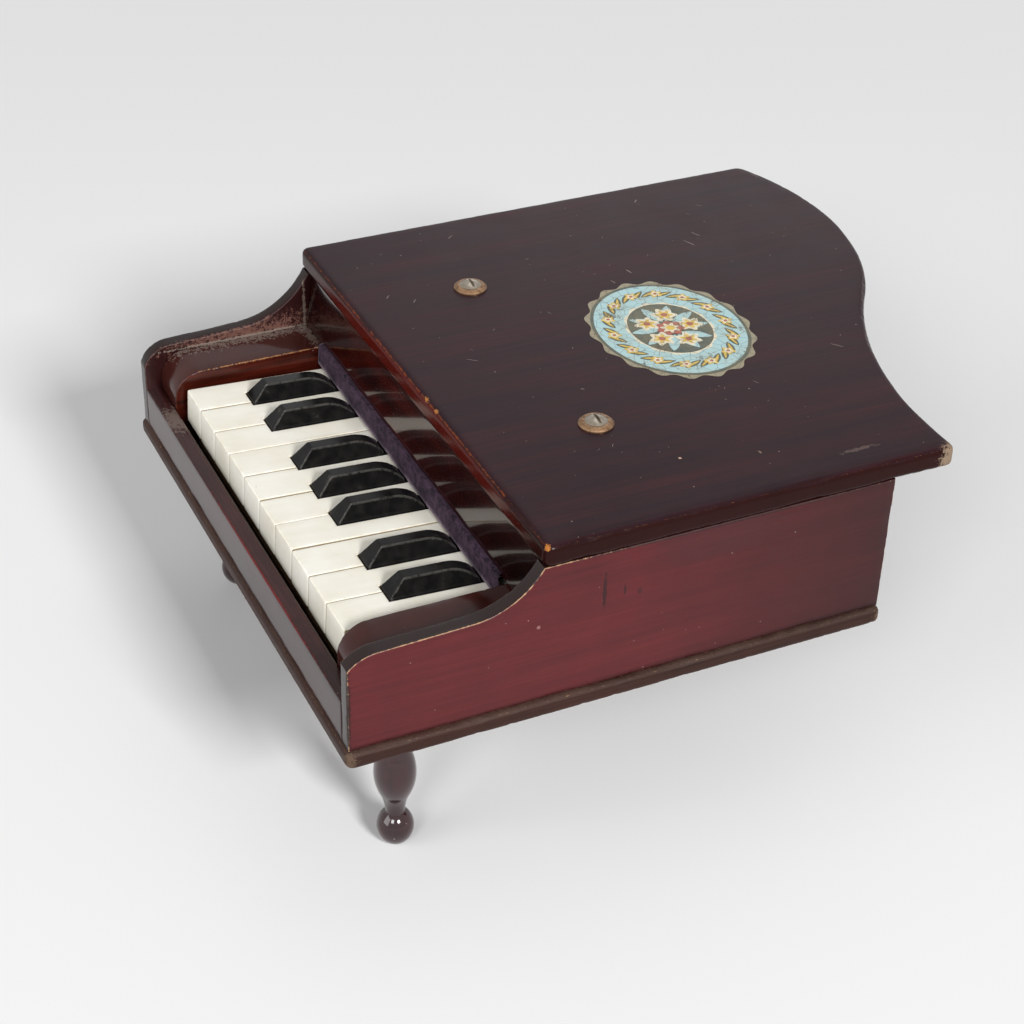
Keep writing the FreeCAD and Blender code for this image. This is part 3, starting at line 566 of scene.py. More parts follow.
def stained_wood(name, grain, colours, roughness, gloss=0.5, coat=0.0, coat_roughness=0.08, edge=None,
                 wear=0.3, wear_share=0.5, worn="#9c6a3c", mottle=0.12, specks=0.5, lint=0.0, ripple=0.15,
                 darkenings=(), dust=None, marks=()):
    """Varnished, stained hardwood: grain, mottling, lint, dust, worn arrises and single marks, in that order.

    grain is the board's long direction, 0 to 2 for x to z, and colours are its dark, middle and light
    streaks. gloss is the specular level: 0.5 is sound varnish, and less is varnish dulled by fine crazing.
    edge is (axis, colour) for the surfaces that don't face along that axis. lint is how plainly hairs and
    scratches show on a top. A darkening is (axis, from, to, factor): the colour is multiplied by one at the
    first place in mm and by the factor at the second; below it paints shade and darkens a bottom edge. dust
    is (axis, side, colour, strength) for the surfaces that face that side. A mark is (place, radii, colour,
    strength, raggedness): an ellipsoid in mm inside which the colour stands, also used for painted shade.
    """
    finish, tree, surface = new_finish(name)
    place = add(tree, "TexCoord").outputs["Object"]
    spot = add(tree, "SeparateXYZ", {0: place}).outputs
    facing = add(tree, "SeparateXYZ", {0: add(tree, "NewGeometry").outputs["Normal"]}).outputs
    noises = wood_noises(tree, place, grain)
    mixed = add(tree, "Mix", {0: 0.5, 2: noises["figure"], 3: noises["streak"]}).outputs[0]
    ramp = add(tree, "ValToRGB", {"Fac": mixed})
    stops = ramp.color_ramp.elements
    stops[0].position, stops[1].position = 0.36, 0.64
    stops[0].color, stops[1].color = linear(colours[0]), linear(colours[2])
    stops.new(0.5).color = linear(colours[1])
    pores = add(tree, "MapRange", {0: noises["pore"], 1: 0.62, 2: 0.76, 3: 0.0, 4: 0.5}).outputs[0]
    colour = add(tree, "Mix", {0: pores, 6: ramp.outputs[0], 7: linear(colours[0])}, data_type="RGBA")
    rough = add(tree, "MapRange", {0: noises["mottle"], 1: 0.25, 2: 0.75, 3: roughness * 0.85,
                                   4: roughness * 1.2})
    colour, rough = colour.outputs[2], rough.outputs[0]
    if edge:
        axis, edge_colour = edge
        flat = add(tree, "Math", {0: facing[axis]}, operation="ABSOLUTE").outputs[0]
        turned = add(tree, "MapRange", {0: flat, 1: 0.86, 2: 0.6}).outputs[0]
        colour, rough = laid(tree, turned, colour, rough, edge_colour, roughness * EDGE_POLISH)
    shade = add(tree, "MapRange", {0: noises["mottle"], 1: 0.3, 2: 0.7, 3: 1 - mottle, 4: 1 + mottle})
    shade = shade.outputs[0]
    # Darkenings along an axis: painted shade, and a darker bottom edge on the treble side.
    for axis, start, end, factor in darkenings:
        start, end = (np.array([start, end]) - CASE_FRONT[axis]) * MM
        darkening = add(tree, "MapRange", {0: spot[axis], 1: start, 2: end, 3: 1.0, 4: factor}).outputs[0]
        shade = add(tree, "Math", {0: shade, 1: darkening}, operation="MULTIPLY").outputs[0]
    colour = add(tree, "VectorMath", {0: colour, 3: shade}, operation="SCALE").outputs[0]
    cells = add(tree, "TexVoronoi", {"Vector": place, "Scale": per_mm(SPECK_SPACING)})
    colour = scattered(tree, cells, 0.6, 0.055, specks, colour)
    if lint:
        upward = add(tree, "MapRange", {0: facing[2], 1: 0.9, 2: 0.98, 3: 0.0, 4: lint}).outputs[0]
        colour = hairs_over(tree, place, upward, colour)
    if dust:
        axis, side, dust_colour, strength = dust
        share = dust_share(tree, noises, facing[axis], side, strength)
        colour, rough = laid(tree, share, colour, rough, dust_colour, DUST_ROUGHNESS)
    if wear:
        share = wear_share_at(tree, noises, wear, wear_share)
        colour, rough = laid(tree, share, colour, rough, worn, BARE_ROUGHNESS)
    for middle, radii, mark_colour, strength, ragged in marks:
        share = mark_share(tree, place, noises, middle, radii, strength, ragged)
        dulled = BARE_ROUGHNESS if ragged > STAIN_OR_SHADE_ONLY else None
        colour, rough = laid(tree, share, colour, rough, mark_colour, dulled)
    height = add(tree, "Mix", {0: 0.35, 2: noises["orange_peel"], 3: noises["streak"]}).outputs[0]
    bump = add(tree, "Bump", {"Height": height, "Strength": ripple, "Distance": RIPPLE_DEPTH * MM}).outputs[0]
    fill(tree, surface, {"Base Color": colour, "Roughness": rough, "Normal": bump, "IOR": VARNISH_IOR,
                         "Specular IOR Level": gloss, "Coat Weight": coat, "Coat Roughness": coat_roughness})
    return finish


print("varnish IOR", VARNISH_IOR, "and ripple", RIPPLE_DEPTH, "mm deep")

# %% [markdown]
# The lid is a single board with a grand piano's tail: straight on the bass side, a full crest behind it,
# and a hollow that falls to the treble side. On the real toy it was cut with a fretsaw and its edges
# were rounded over. Crest and hollow are two circles that meet in one tangent, so the outline is worked
# out from them, and the board function does the rest.

# %% Outline of the lid
lid_low, lid_high = box_mm("lid")
CREST_RADIUS = 112.0
CREST_INSET = 49.1
HOLLOW_INSET = 12.0
RIGHT_BACK_Y = 224.2
CORNER_EASE = 3.4
# The crest stops this many degrees short of the bass side, to leave room for its eased corner.
CREST_STOP = 2.5
# Points stand no further apart than this round the outline of a board.
BOARD_STEP = 1.5


def lid_outline():
    """Anticlockwise from the front left: a straight front and sides, a hollow arc and a crest arc."""
    left, front = lid_low[:2]
    right, back = lid_high[:2]
    crest = np.array([left + CREST_INSET, back - CREST_RADIUS])
    across = right - HOLLOW_INSET - crest[0]
    down = RIGHT_BACK_Y - crest[1]
    hollow_radius = (across ** 2 + down ** 2 - CREST_RADIUS ** 2) / (2 * (CREST_RADIUS - down))
    hollow = np.array([right - HOLLOW_INSET, RIGHT_BACK_Y + hollow_radius])
    meet = np.degrees(np.arctan2(*(hollow - crest)[::-1]))
    left_turn = 180 - np.degrees(np.arccos(CREST_INSET / CREST_RADIUS))
    hollow_arc = arc(hollow, hollow_radius, -90, meet - 180, 60)
    crest_arc = arc(crest, CREST_RADIUS, meet, left_turn - CREST_STOP, 80)
    corner = arc(crest, CREST_RADIUS, left_turn, left_turn, 1)[0]
    return np.concatenate([
        eased((left, back), (left, front), (right, front), CORNER_EASE),
        eased((left, front), (right, front), (right, back), CORNER_EASE),
        eased((right, front), (right, RIGHT_BACK_Y), (left, RIGHT_BACK_Y), CORNER_EASE),
        hollow_arc,
        crest_arc[1:],
        eased(crest_arc[-1], corner, (left, front), CORNER_EASE),
    ])


print("lid outline has", len(lid_outline()), "points")

# %% [markdown]
# The lid's stain has gone nearly black, and fine crazing has dulled its varnish. Its largest marks are given
# one by one, because they are what makes it this lid: a red front edge, chipped corners and a few pecks.

# %% Lid
lid_marks = [
    # The front edge: red where the stain is thin, a worn line on its arris, and below it a dark line that is
    # a painted shadow of the gap under the lid.
    ((0.0, 66.9, 127.0), (112.0, 2.6, 7.0), "#4c0e07", 0.9, 0.2),
    ((0.0, 68.6, 131.2), (109.0, 0.26, 0.3), "#7a3d1a", 0.75, 0.9),
    ((0.0, lid_low[1], lid_low[2] + 1.2), (112.0, 1.8, 0.5), "#120706", 0.85, 0.3),
    # The two chipped corners of the treble side.
    ((109.6, 68.6, 131.2), (1.9, 1.3, 1.3), "#a3662f", 0.9, 0.6),
    ((110.5, 224.2, 127.5), (4.2, 6.0, 9.0), "#857260", 0.9, 0.5),
    # A long scuff and two pecks on the top, and two nicks in the front arris.
    ((99.0, 192.0, 131.7), (0.9, 7.0, 1.0), "#6e5d58", 0.5, 0.8),
    ((80.3, 132.5, 131.7), (0.7, 0.6, 1.0), "#c9a58f", 0.9, 0.5),
    ((87.6, 159.5, 131.7), (1.0, 0.5, 1.0), "#a08a7c", 0.7, 0.6),
    ((11.9, 68.9, 131.2), (1.9, 0.7, 0.8), "#a8713c", 0.85, 0.8),
    ((21.0, 68.9, 131.2), (1.2, 0.6, 0.7), "#a8713c", 0.75, 0.8),
]
dark_mahogany = stained_wood(
    "dark_stained_mahogany", 1, ("#201118", "#271318", "#34161b"), 0.34, gloss=0.1, edge=(2, "#220a08"),
    wear=0.15, wear_share=0.6, worn="#96592c", ripple=0.1, mottle=0.16, marks=lid_marks, lint=0.42)
lid_shape = board(spread(lid_outline(), BOARD_STEP), lid_high[2] - lid_low[2], (2.3, 1.7), (0, 0, lid_low[2]),
                  LYING, nicks=0.35, seed=4)
lid = add_piece("tail_lid", lid_shape, dark_mahogany, "case", ["lid"])
print("lid:", len(lid.data.polygons), "faces")

# %% [markdown]
# The two side boards stand on the base. Each runs level under the lid, then sweeps down to a low arm
# beside the keys and ends in a rounded nose. They were sawn by hand, and the two arms differ a little.
# The outline is lines and arcs seen from the side, carried across the board's thickness.

# %% Outline of a side board
base_low, base_high = box_mm("base_board")
BASE_TOP = base_high[2]
LID_UNDER = lid_low[2]
LID_FRONT = lid_low[1]
ARM_RISE = 1.1
NOSE_LENGTH = 11.0
CASE_DEPTH = 201.0


def side_outline(arm_height, nose_radius, sweep_radius):
    """Anticlockwise in y and z: foot, back, top, hollow sweep, arm, nose. Sweep and nose are circle arcs."""
    arm_front = BASE_TOP + arm_height
    arm_back = arm_front + ARM_RISE
    sweep_turn = np.degrees(np.arccos(1 - (LID_UNDER - arm_back) / sweep_radius))
    sweep_start = LID_FRONT - sweep_radius * np.sin(np.radians(sweep_turn))
    nose_turn = np.degrees(np.arcsin(NOSE_LENGTH / nose_radius))
    sweep = arc((sweep_start, arm_back + sweep_radius), sweep_radius, sweep_turn - 90, -90, 30)
    nose = arc((NOSE_LENGTH, arm_front - nose_radius), nose_radius, 90, 90 + nose_turn, 16)
    straight = [(0, BASE_TOP), (CASE_DEPTH, BASE_TOP), (CASE_DEPTH, LID_UNDER)]
    return np.concatenate([straight, sweep, nose])


print("an arm rises", ARM_RISE, "mm to the sweep")

# %% [markdown]
# The sides kept more of their red than the lid did. They differ in their marks and in the shade painted on
# them, so each has a finish of its own from the same three streak colours.

# %% Finishes of the side boards
# The same red stain is on both side boards.
CHERRY = ("#440f13", "#4d1216", "#551719")
# Painted shade under the lid, a split with two specks behind it, a peck, the dirty nose, and a dark line
# along the top that is partly unworn stain and partly a painted shadow of the lid.
cherry_marks = [
    # Painted shade under the lid.
    ((110, 131, 121), (3, 26, 12), "#38171b", 0.4, 0.3),
    ((110, 90.2, 108), (3, 0.8, 8.0), "#240c0e", 0.85, 0.35),
    ((110, 97.7, 106.8), (3, 0.5, 2.6), "#240c0e", 0.75, 0.4),
    ((110, 103.4, 104.8), (3, 1.2, 1.2), "#2f1416", 0.7, 0.4),
    ((110, 66.5, 100.5), (3, 0.8, 0.8), "#8f6660", 0.7, 0.3),
    ((110, 0.3, 86), (1.5, 0.8, 16), "#1a0b0a", 0.85, 0.6),
    # Unworn stain and a painted shadow of the lid, in one dark line along the top.
    ((110, 146, LID_UNDER), (3, 80, 1.1), "#2a0f10", 0.95, 0.2),
]
# Painted shade darkens the treble board towards the back, and its bottom edge is darker too.
cherry_stain = stained_wood(
    "cherry_stained_side", 1, CHERRY, 0.36, gloss=0.3, edge=(0, "#1e0f0d"), wear=0.2, wear_share=0.3,
    worn="#a98564", marks=cherry_marks, specks=0.3, mottle=0.1,
    darkenings=[(1, 100, 205, 0.32), (2, 72.5, 70.5, 0.45)])
# The bass board's inner face is painted darker, as shade, with dust along the ledge and in the corner.
bass_marks = [
    # Painted shade over the whole inner face.
    ((-102.5, 60, 100), (4.0, 90, 60), "#220d0d", 0.95, 0.0),
    ((-104, 42, 103.2), (0.6, 24, 3.4), "#7a564b", 0.6, 1.9),
    ((-104, 40, 101.4), (1.2, 36, 0.6), "#857a70", 0.65, 0.6),
    ((-104, 66, 108), (1.2, 0.6, 13), "#7a6d63", 0.6, 0.8),
]
bass_stain = stained_wood(
    "cherry_stained_bass_side", 1, CHERRY, 0.32, gloss=0.2, edge=(0, "#1c0d0b"), wear=0.18, wear_share=0.34,
    worn="#937c68", marks=bass_marks)
print("side finishes:", cherry_stain.name, "and", bass_stain.name)

# %% [markdown]
# With outline and finish at hand, a side board takes one line. The bass arm is lower and sweeps more gently.

# %% Side boards
# The node, then the outline from the arm's height, the nose's radius and the sweep's radius, and the finish.
SIDE_BOARDS = {
    "bass_side_board": ("side_panel_left", side_outline(34.2, 11.6, 35.0), bass_stain),
    "treble_side_board": ("side_panel_right", side_outline(37.5, 14.7, 30.0), cherry_stain),
}
for number, (name, (node, outline, finish)) in enumerate(SIDE_BOARDS.items()):
    low, high = box_mm(node)
    shape = board(spread(outline, BOARD_STEP), high[0] - low[0], (0.7, 0.7), (low[0], 0, 0), SIDEWAYS,
                  nicks=0.15, seed=20 + number)
    add_piece(name, shape, finish, "case", [node])
print("side boards:", list(SIDE_BOARDS))

# %% [markdown]
# Four more stains dress the plainer boards. The base is dull and dusty, the rail and the cheeks were
# varnished redder and are rubbed by sleeves, and the back was only brushed over.

# %% Finishes of the plainer boards
# Dust on the base's two treble corners.
base_marks = [
    ((112, -1.2, 67), (3, 3, 5), "#6b5847", 0.5, 0.9),
    ((112, 201.8, 66), (3, 3, 5), "#6b5847", 0.5, 0.9),
]
# Dust along the bass cheek's ledge and in its corner, and a bare line on its inner arris.
cheek_marks = [
    ((-102, 40, 101.4), (2.4, 30, 2.0), "#857972", 0.5, 1.8),
    ((-103.8, 40, 101.4), (0.7, 36, 1.0), "#857a70", 0.65, 0.6),
    ((-85.2, 42, 101.2), (0.2, 22, 0.22), "#98683a", 0.65, 1.8),
    ((-96, 65, 101.4), (9, 1.8, 2.0), "#74675f", 0.5, 1.1),
]
# A dusty end of the rail, and red stain that shows along its front arris.
rail_marks = [
    ((-78, 3.5, 86.5), (9, 4, 2), "#72665e", 0.55, 0.8),
    ((30, 0.2, 86.3), (52, 0.45, 0.45), "#701315", 0.6, 0.7),
]
base_stain = stained_wood(
    "dark_stained_base", 1, ("#24120d", "#2d1812", "#361e17"), 0.5, gloss=0.18, wear=0.2, wear_share=0.62,
    worn="#8a7050", dust=(2, 1, "#4f3d35", 0.55), mottle=0.2, marks=base_marks)
cheek_stain = stained_wood(
    "red_varnished_cheek", 1, ("#220a06", "#3c120a", "#541d10"), 0.22, gloss=0.2, coat=0.05,
    edge=(0, "#371814"), wear=0.12, wear_share=0.58, worn="#98683a", mottle=0.25, marks=cheek_marks)
rail_stain = stained_wood(
    "red_varnished_rail", 0, ("#1f0c0c", "#2c1212", "#381918"), 0.2, gloss=0.2, coat=0.08, wear=0.15,
    wear_share=0.6, worn="#8a4a34", mottle=0.25, marks=rail_marks)
back_stain = stained_wood("brushed_back_stain", 0, ("#2b1516", "#42201f", "#55302b"), 0.55, wear=0.3)
print("plainer finishes:", [stain.name for stain in (base_stain, cheek_stain, rail_stain, back_stain)])

# %% [markdown]
# The base board, the rail in front of the keys, the two cheek blocks beside them and the back board are
# rectangles with eased edges, and the cheeks have a rounded front.
# All go through the same function, because the small differences in edge and grain are what the eye reads.

# %% Base, rail, cheeks and back
def rectangle(low, high, ease=0.0):
    """Four corners anticlockwise, eased if asked."""
    corners = np.array([(low[0], low[1]), (high[0], low[1]), (high[0], high[1]), (low[0], high[1])], float)
    return eased_polygon(corners, ease) if ease else corners


PLAIN_STEP = 2.0
BASE_EASE, CHEEK_NOSE = 3.2, 11.0
rail_low, rail_high = box_mm("front_rail")
back_low, back_high = box_mm("back_panel")
base_outline = spread(rectangle(base_low, base_high, BASE_EASE), BOARD_STEP)
rail_outline = spread(rectangle(rail_low[[0, 2]], rail_high[[0, 2]]), BOARD_STEP)
back_outline = spread(rectangle(back_low[[0, 2]], back_high[[0, 2]]), PLAIN_STEP)
base_shape = board(base_outline, base_high[2] - base_low[2], (2.2, 2.2), (0, 0, base_low[2]), LYING,
                   nicks=0.2, seed=31)
rail_shape = board(rail_outline, rail_high[1] - rail_low[1], (0.6, 0.6), (0, rail_high[1], 0), FACING_PLAYER,
                   nicks=0.15, seed=33)
back_shape = board(back_outline, back_high[1] - back_low[1], (0.4, 0.4), (0, back_low[1], 0), FACING_TAIL,
                   seed=35)
add_piece("base_plank", base_shape, base_stain, "case", ["base_board"])
add_piece("key_slip", rail_shape, rail_stain, "case", ["front_rail"])
add_piece("back_plank", back_shape, back_stain, "case", ["back_panel"])
for number, (name, node) in enumerate({"bass_cheek": "cheek_left", "treble_cheek": "cheek_right"}.items()):
    low, high = box_mm(node)
    nose = arc((low[1] + CHEEK_NOSE, high[2] - CHEEK_NOSE), CHEEK_NOSE, 90, 180, 14)
    outline = np.concatenate([[(low[1], low[2]), (high[1], low[2]), (high[1], high[2])], nose])
    shape = board(spread(outline, BOARD_STEP), high[0] - low[0], (0.6, 0.6), (low[0], 0, 0), SIDEWAYS,
                  nicks=0.15, seed=37 + number)
    add_piece(name, shape, cheek_stain, "case", [node])
print("base is", np.round(base_high - base_low, 1), "mm")

# %% [markdown]
# The nameboard stands behind the keys and leans back a little. It is the one piece with a deep polish:
# french polish laid on thickly, so the white keys are mirrored in it.
# A clear coat over dark stain gives that, with the coat left almost smooth.

# %% Nameboard
board_low, board_high = box_mm("nameboard")
NAMEBOARD_THICKNESS = 4.0
lean = np.array([0.0, board_high[1] - board_low[1] - NAMEBOARD_THICKNESS, board_high[2] - board_low[2]])
board_height = np.linalg.norm(lean)
board_up = lean / board_height
board_out = np.cross((1, 0, 0), board_up)
# Painted shade darkens the nameboard towards both ends.
polish = stained_wood(
    "french_polished_nameboard", 0, ("#1b0505", "#290908", "#410f0b"), 0.14, gloss=0.25, coat=0.7,
    coat_roughness=0.05, wear=0.15, wear_share=0.62, specks=0.25, ripple=0.2, mottle=0.35,
    darkenings=[(0, -10, -92, 0.35), (0, 45, 95, 0.4)])
name_outline = spread(rectangle((board_low[0], 0), (board_high[0], board_height)), PLAIN_STEP)
name_place = (0, board_low[1] + NAMEBOARD_THICKNESS, board_low[2])
name_axes = ((1, 0, 0), board_up, board_out)
name_shape = board(name_outline, NAMEBOARD_THICKNESS, (0.3, 0.3), name_place, name_axes, seed=41)
add_piece("name_plank", name_shape, polish, "case", ["nameboard"])
print("nameboard leans", round(np.degrees(np.arctan2(lean[1], lean[2])), 1), "degrees")

# %% [markdown]
# The three legs were turned on a lathe: a ball foot, a waist, a long bulb, a neck with a bead and a collar.
# A turner works to a profile, so that is drawn first. The swelling between two radii is two equal arcs that
# leave one upright and reach the other upright. The foot and the bead are arcs through three points.

# %% Profile of a leg
LEG_HEIGHT = base_low[2]


def swell(low, high, count=10):
    """Two equal arcs of radius (w squared + h squared) / (4 w) between two (radius, height) points."""
    low, high = np.asarray(low, float), np.asarray(high, float)
    wide, tall = abs(high[0] - low[0]), high[1] - low[1]
    radius = (wide ** 2 + tall ** 2) / (4 * wide)
    turn = np.linspace(0, np.arctan2(tall / 2, radius - wide / 2), count)
    step = np.stack([np.sign(high[0] - low[0]) * radius * (1 - np.cos(turn)), radius * np.sin(turn)], 1)
    return np.concatenate([low + step, (high - step)[::-1][1:]])


def three_point_arc(start, middle, end, count=14):
    """The circle arc through three points: its centre is where the chords' middle lines cross."""
    start, middle, end = (np.asarray(p, float) for p in (start, middle, end))
    chords = np.stack([middle - start, end - middle])
    halves = np.array([chords[0] @ (start + middle), chords[1] @ (middle + end)]) / 2
    centre = np.linalg.solve(chords, halves)
    turns = np.unwrap([np.arctan2(*(p - centre)[::-1]) for p in (start, middle, end)])
    return arc(centre, np.linalg.norm(start - centre), *np.degrees(turns[[0, 2]]), count)


# Turning points of the profile, as (radius, height).
FOOT, WAIST, BULB, NECK, BEAD_TOP = (2.6, 0.0), (3.5, 13.8), (7.5, 31.6), (4.2, 49.6), (4.2, 53.8)
COLLAR_LOW, COLLAR_TOP, COLLAR_END = (7.2, LEG_HEIGHT - 6.0), (7.2, LEG_HEIGHT), (4.0, LEG_HEIGHT)
leg_profile = np.concatenate([
    [(1.6, 0.0)],
    three_point_arc(FOOT, (6.65, 7.0), WAIST, 22),
    swell(WAIST, BULB)[1:],
    swell(BULB, NECK)[1:],
    three_point_arc(NECK, (5.9, 51.7), BEAD_TOP)[1:],
    eased(BEAD_TOP, COLLAR_LOW, COLLAR_TOP, 0.6),
    eased(COLLAR_LOW, COLLAR_TOP, COLLAR_END, 0.4),
    [COLLAR_END],
])
print("leg profile has", len(leg_profile), "rows")

# %% [markdown]
# A lathe turns the wood against the profile, and this function turns the profile round the leg's axis.
# Blender's Screw modifier does the same, but here the legs are meshes like all the other pieces.

# %% Legs
def lathe(profile, x, y, columns=56):
    """A profile of (radius, height) rows carried round an upright axis, with one flat face over each end."""
    turn = np.linspace(0, 2 * np.pi, columns, endpoint=False)
    radius, height = profile[::-1].T
    ring = np.stack([np.cos(turn), np.sin(turn)], 1)
    level = np.broadcast_to(height[:, None, None], (len(height), columns, 1))
    points = np.concatenate([radius[:, None, None] * ring, level], -1)
    faces = grid_quads(len(profile), columns, True).tolist()
    faces.append(list(range(columns)))
    faces.append(list(range((len(profile) - 1) * columns, len(profile) * columns))[::-1])
    return points.reshape(-1, 3) + [x, y, 0], faces, np.full(points[..., 0].size, NO_ARRIS)


leg_stain = stained_wood("dark_turned_leg", 2, ("#1f0a0d", "#2b0e12", "#381418"), 0.1, coat=0.4, wear=0.0,
                         specks=0.6)
for node in ("leg_front_left", "leg_front_right", "leg_rear"):
    low, high = box_mm(node)
    middle = (low + high) / 2
    shape = lathe(leg_profile, middle[0], middle[1])
    add_piece("turned_" + node, shape, leg_stain, "case", [node])
print("legs are", round(LEG_HEIGHT, 1), "mm high")

# %% [markdown]
# The white keys were brushed with ivory paint. Oil paint keeps faint strokes, goes warm with age, and browns
# on the sides, where two keys rub together. A ramp over two noises gives the uneven white, and the way that a
# surface faces tells the sides from the tops.

# %% Ivory paint
def ivory_paint():
    """Oil paint on wood: warm white, brushed and yellowed, browned where keys rub side to side."""
    finish, tree, surface = new_finish("ivory_oil_paint")
    place = add(tree, "TexCoord").outputs["Object"]
    brushed = add(tree, "Mapping", {"Vector": place, "Scale": per_mm(3, 22, 3)})
    brush = add(tree, "TexNoise", {"Vector": brushed.outputs[0], "Scale": 1.0, "Detail": 3}).outputs["Fac"]
    cloud = add(tree, "TexNoise", {"Vector": place, "Scale": per_mm(19), "Detail": 4}).outputs["Fac"]
    grime = add(tree, "TexNoise", {"Vector": place, "Scale": per_mm(4), "Detail": 6}).outputs["Fac"]
    both = add(tree, "Mix", {0: 0.25, 2: cloud, 3: brush}).outputs[0]
    tint = add(tree, "ValToRGB", {"Fac": both})
    stops = tint.color_ramp.elements
    stops[0].position, stops[1].position = 0.34, 0.62
    stops[0].color, stops[1].color = linear("#e3decd"), linear("#eeebe1")
    across = add(tree, "SeparateXYZ", {0: add(tree, "NewGeometry").outputs["Normal"]}).outputs[0]
    across = add(tree, "Math", {0: across}, operation="ABSOLUTE").outputs[0]
    side = add(tree, "MapRange", {0: across, 1: 0.75, 2: 0.95, 3: 0.0, 4: 0.9}).outputs[0]
    colour = add(tree, "Mix", {0: side, 6: tint.outputs[0], 7: linear("#7d6845")}, data_type="RGBA")
    colour = colour.outputs[2]
    arris = add(tree, "Attribute", attribute_name="arris").outputs["Fac"]
    edge = add(tree, "MapRange", {0: arris, 1: 0.0, 2: 1.1, 3: 0.32, 4: 0.0}).outputs[0]
    dirty = add(tree, "MapRange", {0: grime, 1: 0.42, 2: 0.7}).outputs[0]
    edge = add(tree, "Math", {0: edge, 1: dirty}, operation="MULTIPLY").outputs[0]
    colour = add(tree, "Mix", {0: edge, 6: colour, 7: linear("#a89468")}, data_type="RGBA").outputs[2]
    spots = add(tree, "TexVoronoi", {"Vector": place, "Scale": per_mm(11)})
    fleck = add(tree, "MapRange", {0: spots.outputs["Distance"], 1: 0.03, 2: 0.02, 3: 0.0, 4: 0.5}).outputs[0]
    colour = add(tree, "Mix", {0: fleck, 6: colour, 7: linear("#8a7a58")}, data_type="RGBA").outputs[2]
    rough = add(tree, "MapRange", {0: cloud, 1: 0.3, 2: 0.7, 3: 0.32, 4: 0.48}).outputs[0]
    bump = add(tree, "Bump", {"Height": brush, "Strength": 0.25, "Distance": 0.05 * MM}).outputs[0]
    fill(tree, surface, {"Base Color": colour, "Roughness": rough, "Normal": bump,
                         "Specular IOR Level": 0.35})
    return finish


ivory = ivory_paint()
print("ivory paint has", len(ivory.node_tree.nodes), "nodes")

# %% [markdown]
# A white key is a wooden lever with a head as wide as its place and a stem cut back to pass the black keys.
# Its outline is drawn flat and given a thickness, like that of any board, with the arrises rounded as thick
# paint rounds them. The keys hang on one wire, front up, and no two stand quite level, so each gets a small
# seeded turn about the wire.

# %% White keys
first_press = next(joint for joint in frame["joints"] if joint["name"] == "white_key_1_press")
WIRE = np.array(first_press["pos_m"]) / MM + CASE_FRONT
KEY_TILT = np.radians(-3.0)
KEY_FRONT, KEY_TAIL, KEY_HEIGHT = 9.4, 122.0, 13.0
NOTCH_FRONT, NOTCH_GAP = 29.7, 0.45
FRONT_EASE = 1.0
# The most that a key stands uneven, in degrees.
UNEVENNESS = 0.18
KEY_STEP = 3.0
WHITE_COUNT, BLACK_COUNT = 10, 7
uneven = np.random.default_rng(7)


def key_axes(extra_turn=0.0):
    """Axes of a key turned about the wire: x stays, y and z turn by the resting tilt and a little more."""
    turn = KEY_TILT + extra_turn
    return np.array([(1, 0, 0), (0, np.cos(turn), np.sin(turn)), (0, -np.sin(turn), np.cos(turn))])


black_spans = [(box_mm(f"black_key_{n}")[0][0] - NOTCH_GAP, box_mm(f"black_key_{n}")[1][0] + NOTCH_GAP)
               for n in range(1, BLACK_COUNT + 1)]
for number in range(1, WHITE_COUNT + 1):
    node = f"white_key_{number}"
    low, high = box_mm(node)
    left, right_side = low[0], high[0]
    stem_left = max([b for a, b in black_spans if a < left < b] or [left])
    stem_right = min([a for a, b in black_spans if a < right_side < b] or [right_side])
    corners = [*eased((left, NOTCH_FRONT), (left, KEY_FRONT), (right_side, KEY_FRONT), FRONT_EASE),
               *eased((left, KEY_FRONT), (right_side, KEY_FRONT), (right_side, NOTCH_FRONT), FRONT_EASE)]
    corners += [(right_side, NOTCH_FRONT), (stem_right, NOTCH_FRONT)] if stem_right < right_side else []
    corners += [(stem_right, KEY_TAIL), (stem_left, KEY_TAIL)]
    corners += [(stem_left, NOTCH_FRONT), (left, NOTCH_FRONT)] if stem_left > left else []
    outline = np.array(corners) - [0, WIRE[1]]
    axes = key_axes(np.radians(uneven.uniform(-UNEVENNESS, UNEVENNESS)))
    place = np.array([0, WIRE[1], WIRE[2]]) - axes[2] * KEY_HEIGHT / 2
    shape = board(spread(outline, KEY_STEP), KEY_HEIGHT, (0.6, 0.25), place, axes)
    add_piece(f"ivory_key_{number}", shape, ivory, node, [node])
print("white keys hang on the wire at", np.round(WIRE, 2))

# %% [markdown]
# A black key is a straight lever with a raised cap: sloping sides, a steep nose, a flat top and a heel that
# falls in an arc towards the nameboard. A cube with bevels loses the way those slopes run together, so the
# cap is a height over a grid: the lowest of the five slopes at each place, with the change from one to the
# next smoothed as lacquer smooths it.

# %% Cap of a black key
CAP_NOSE, CAP_HEEL, CAP_RISE = 30.1, 63.2, 6.6
NOSE_RUN, HEEL_RUN, HEEL_RISE = 5.4, 12.8, 1.0
CAP_WIDTH, CAP_TOP_WIDTH = 8.8, 4.7
HEEL_LIFT, END_SLOPE = 0.15, 8
SHARPNESS = 6.5
# Slopes far below the lever's top count as this low, in mm, so that the exponential stays in range.
LOWEST = -50


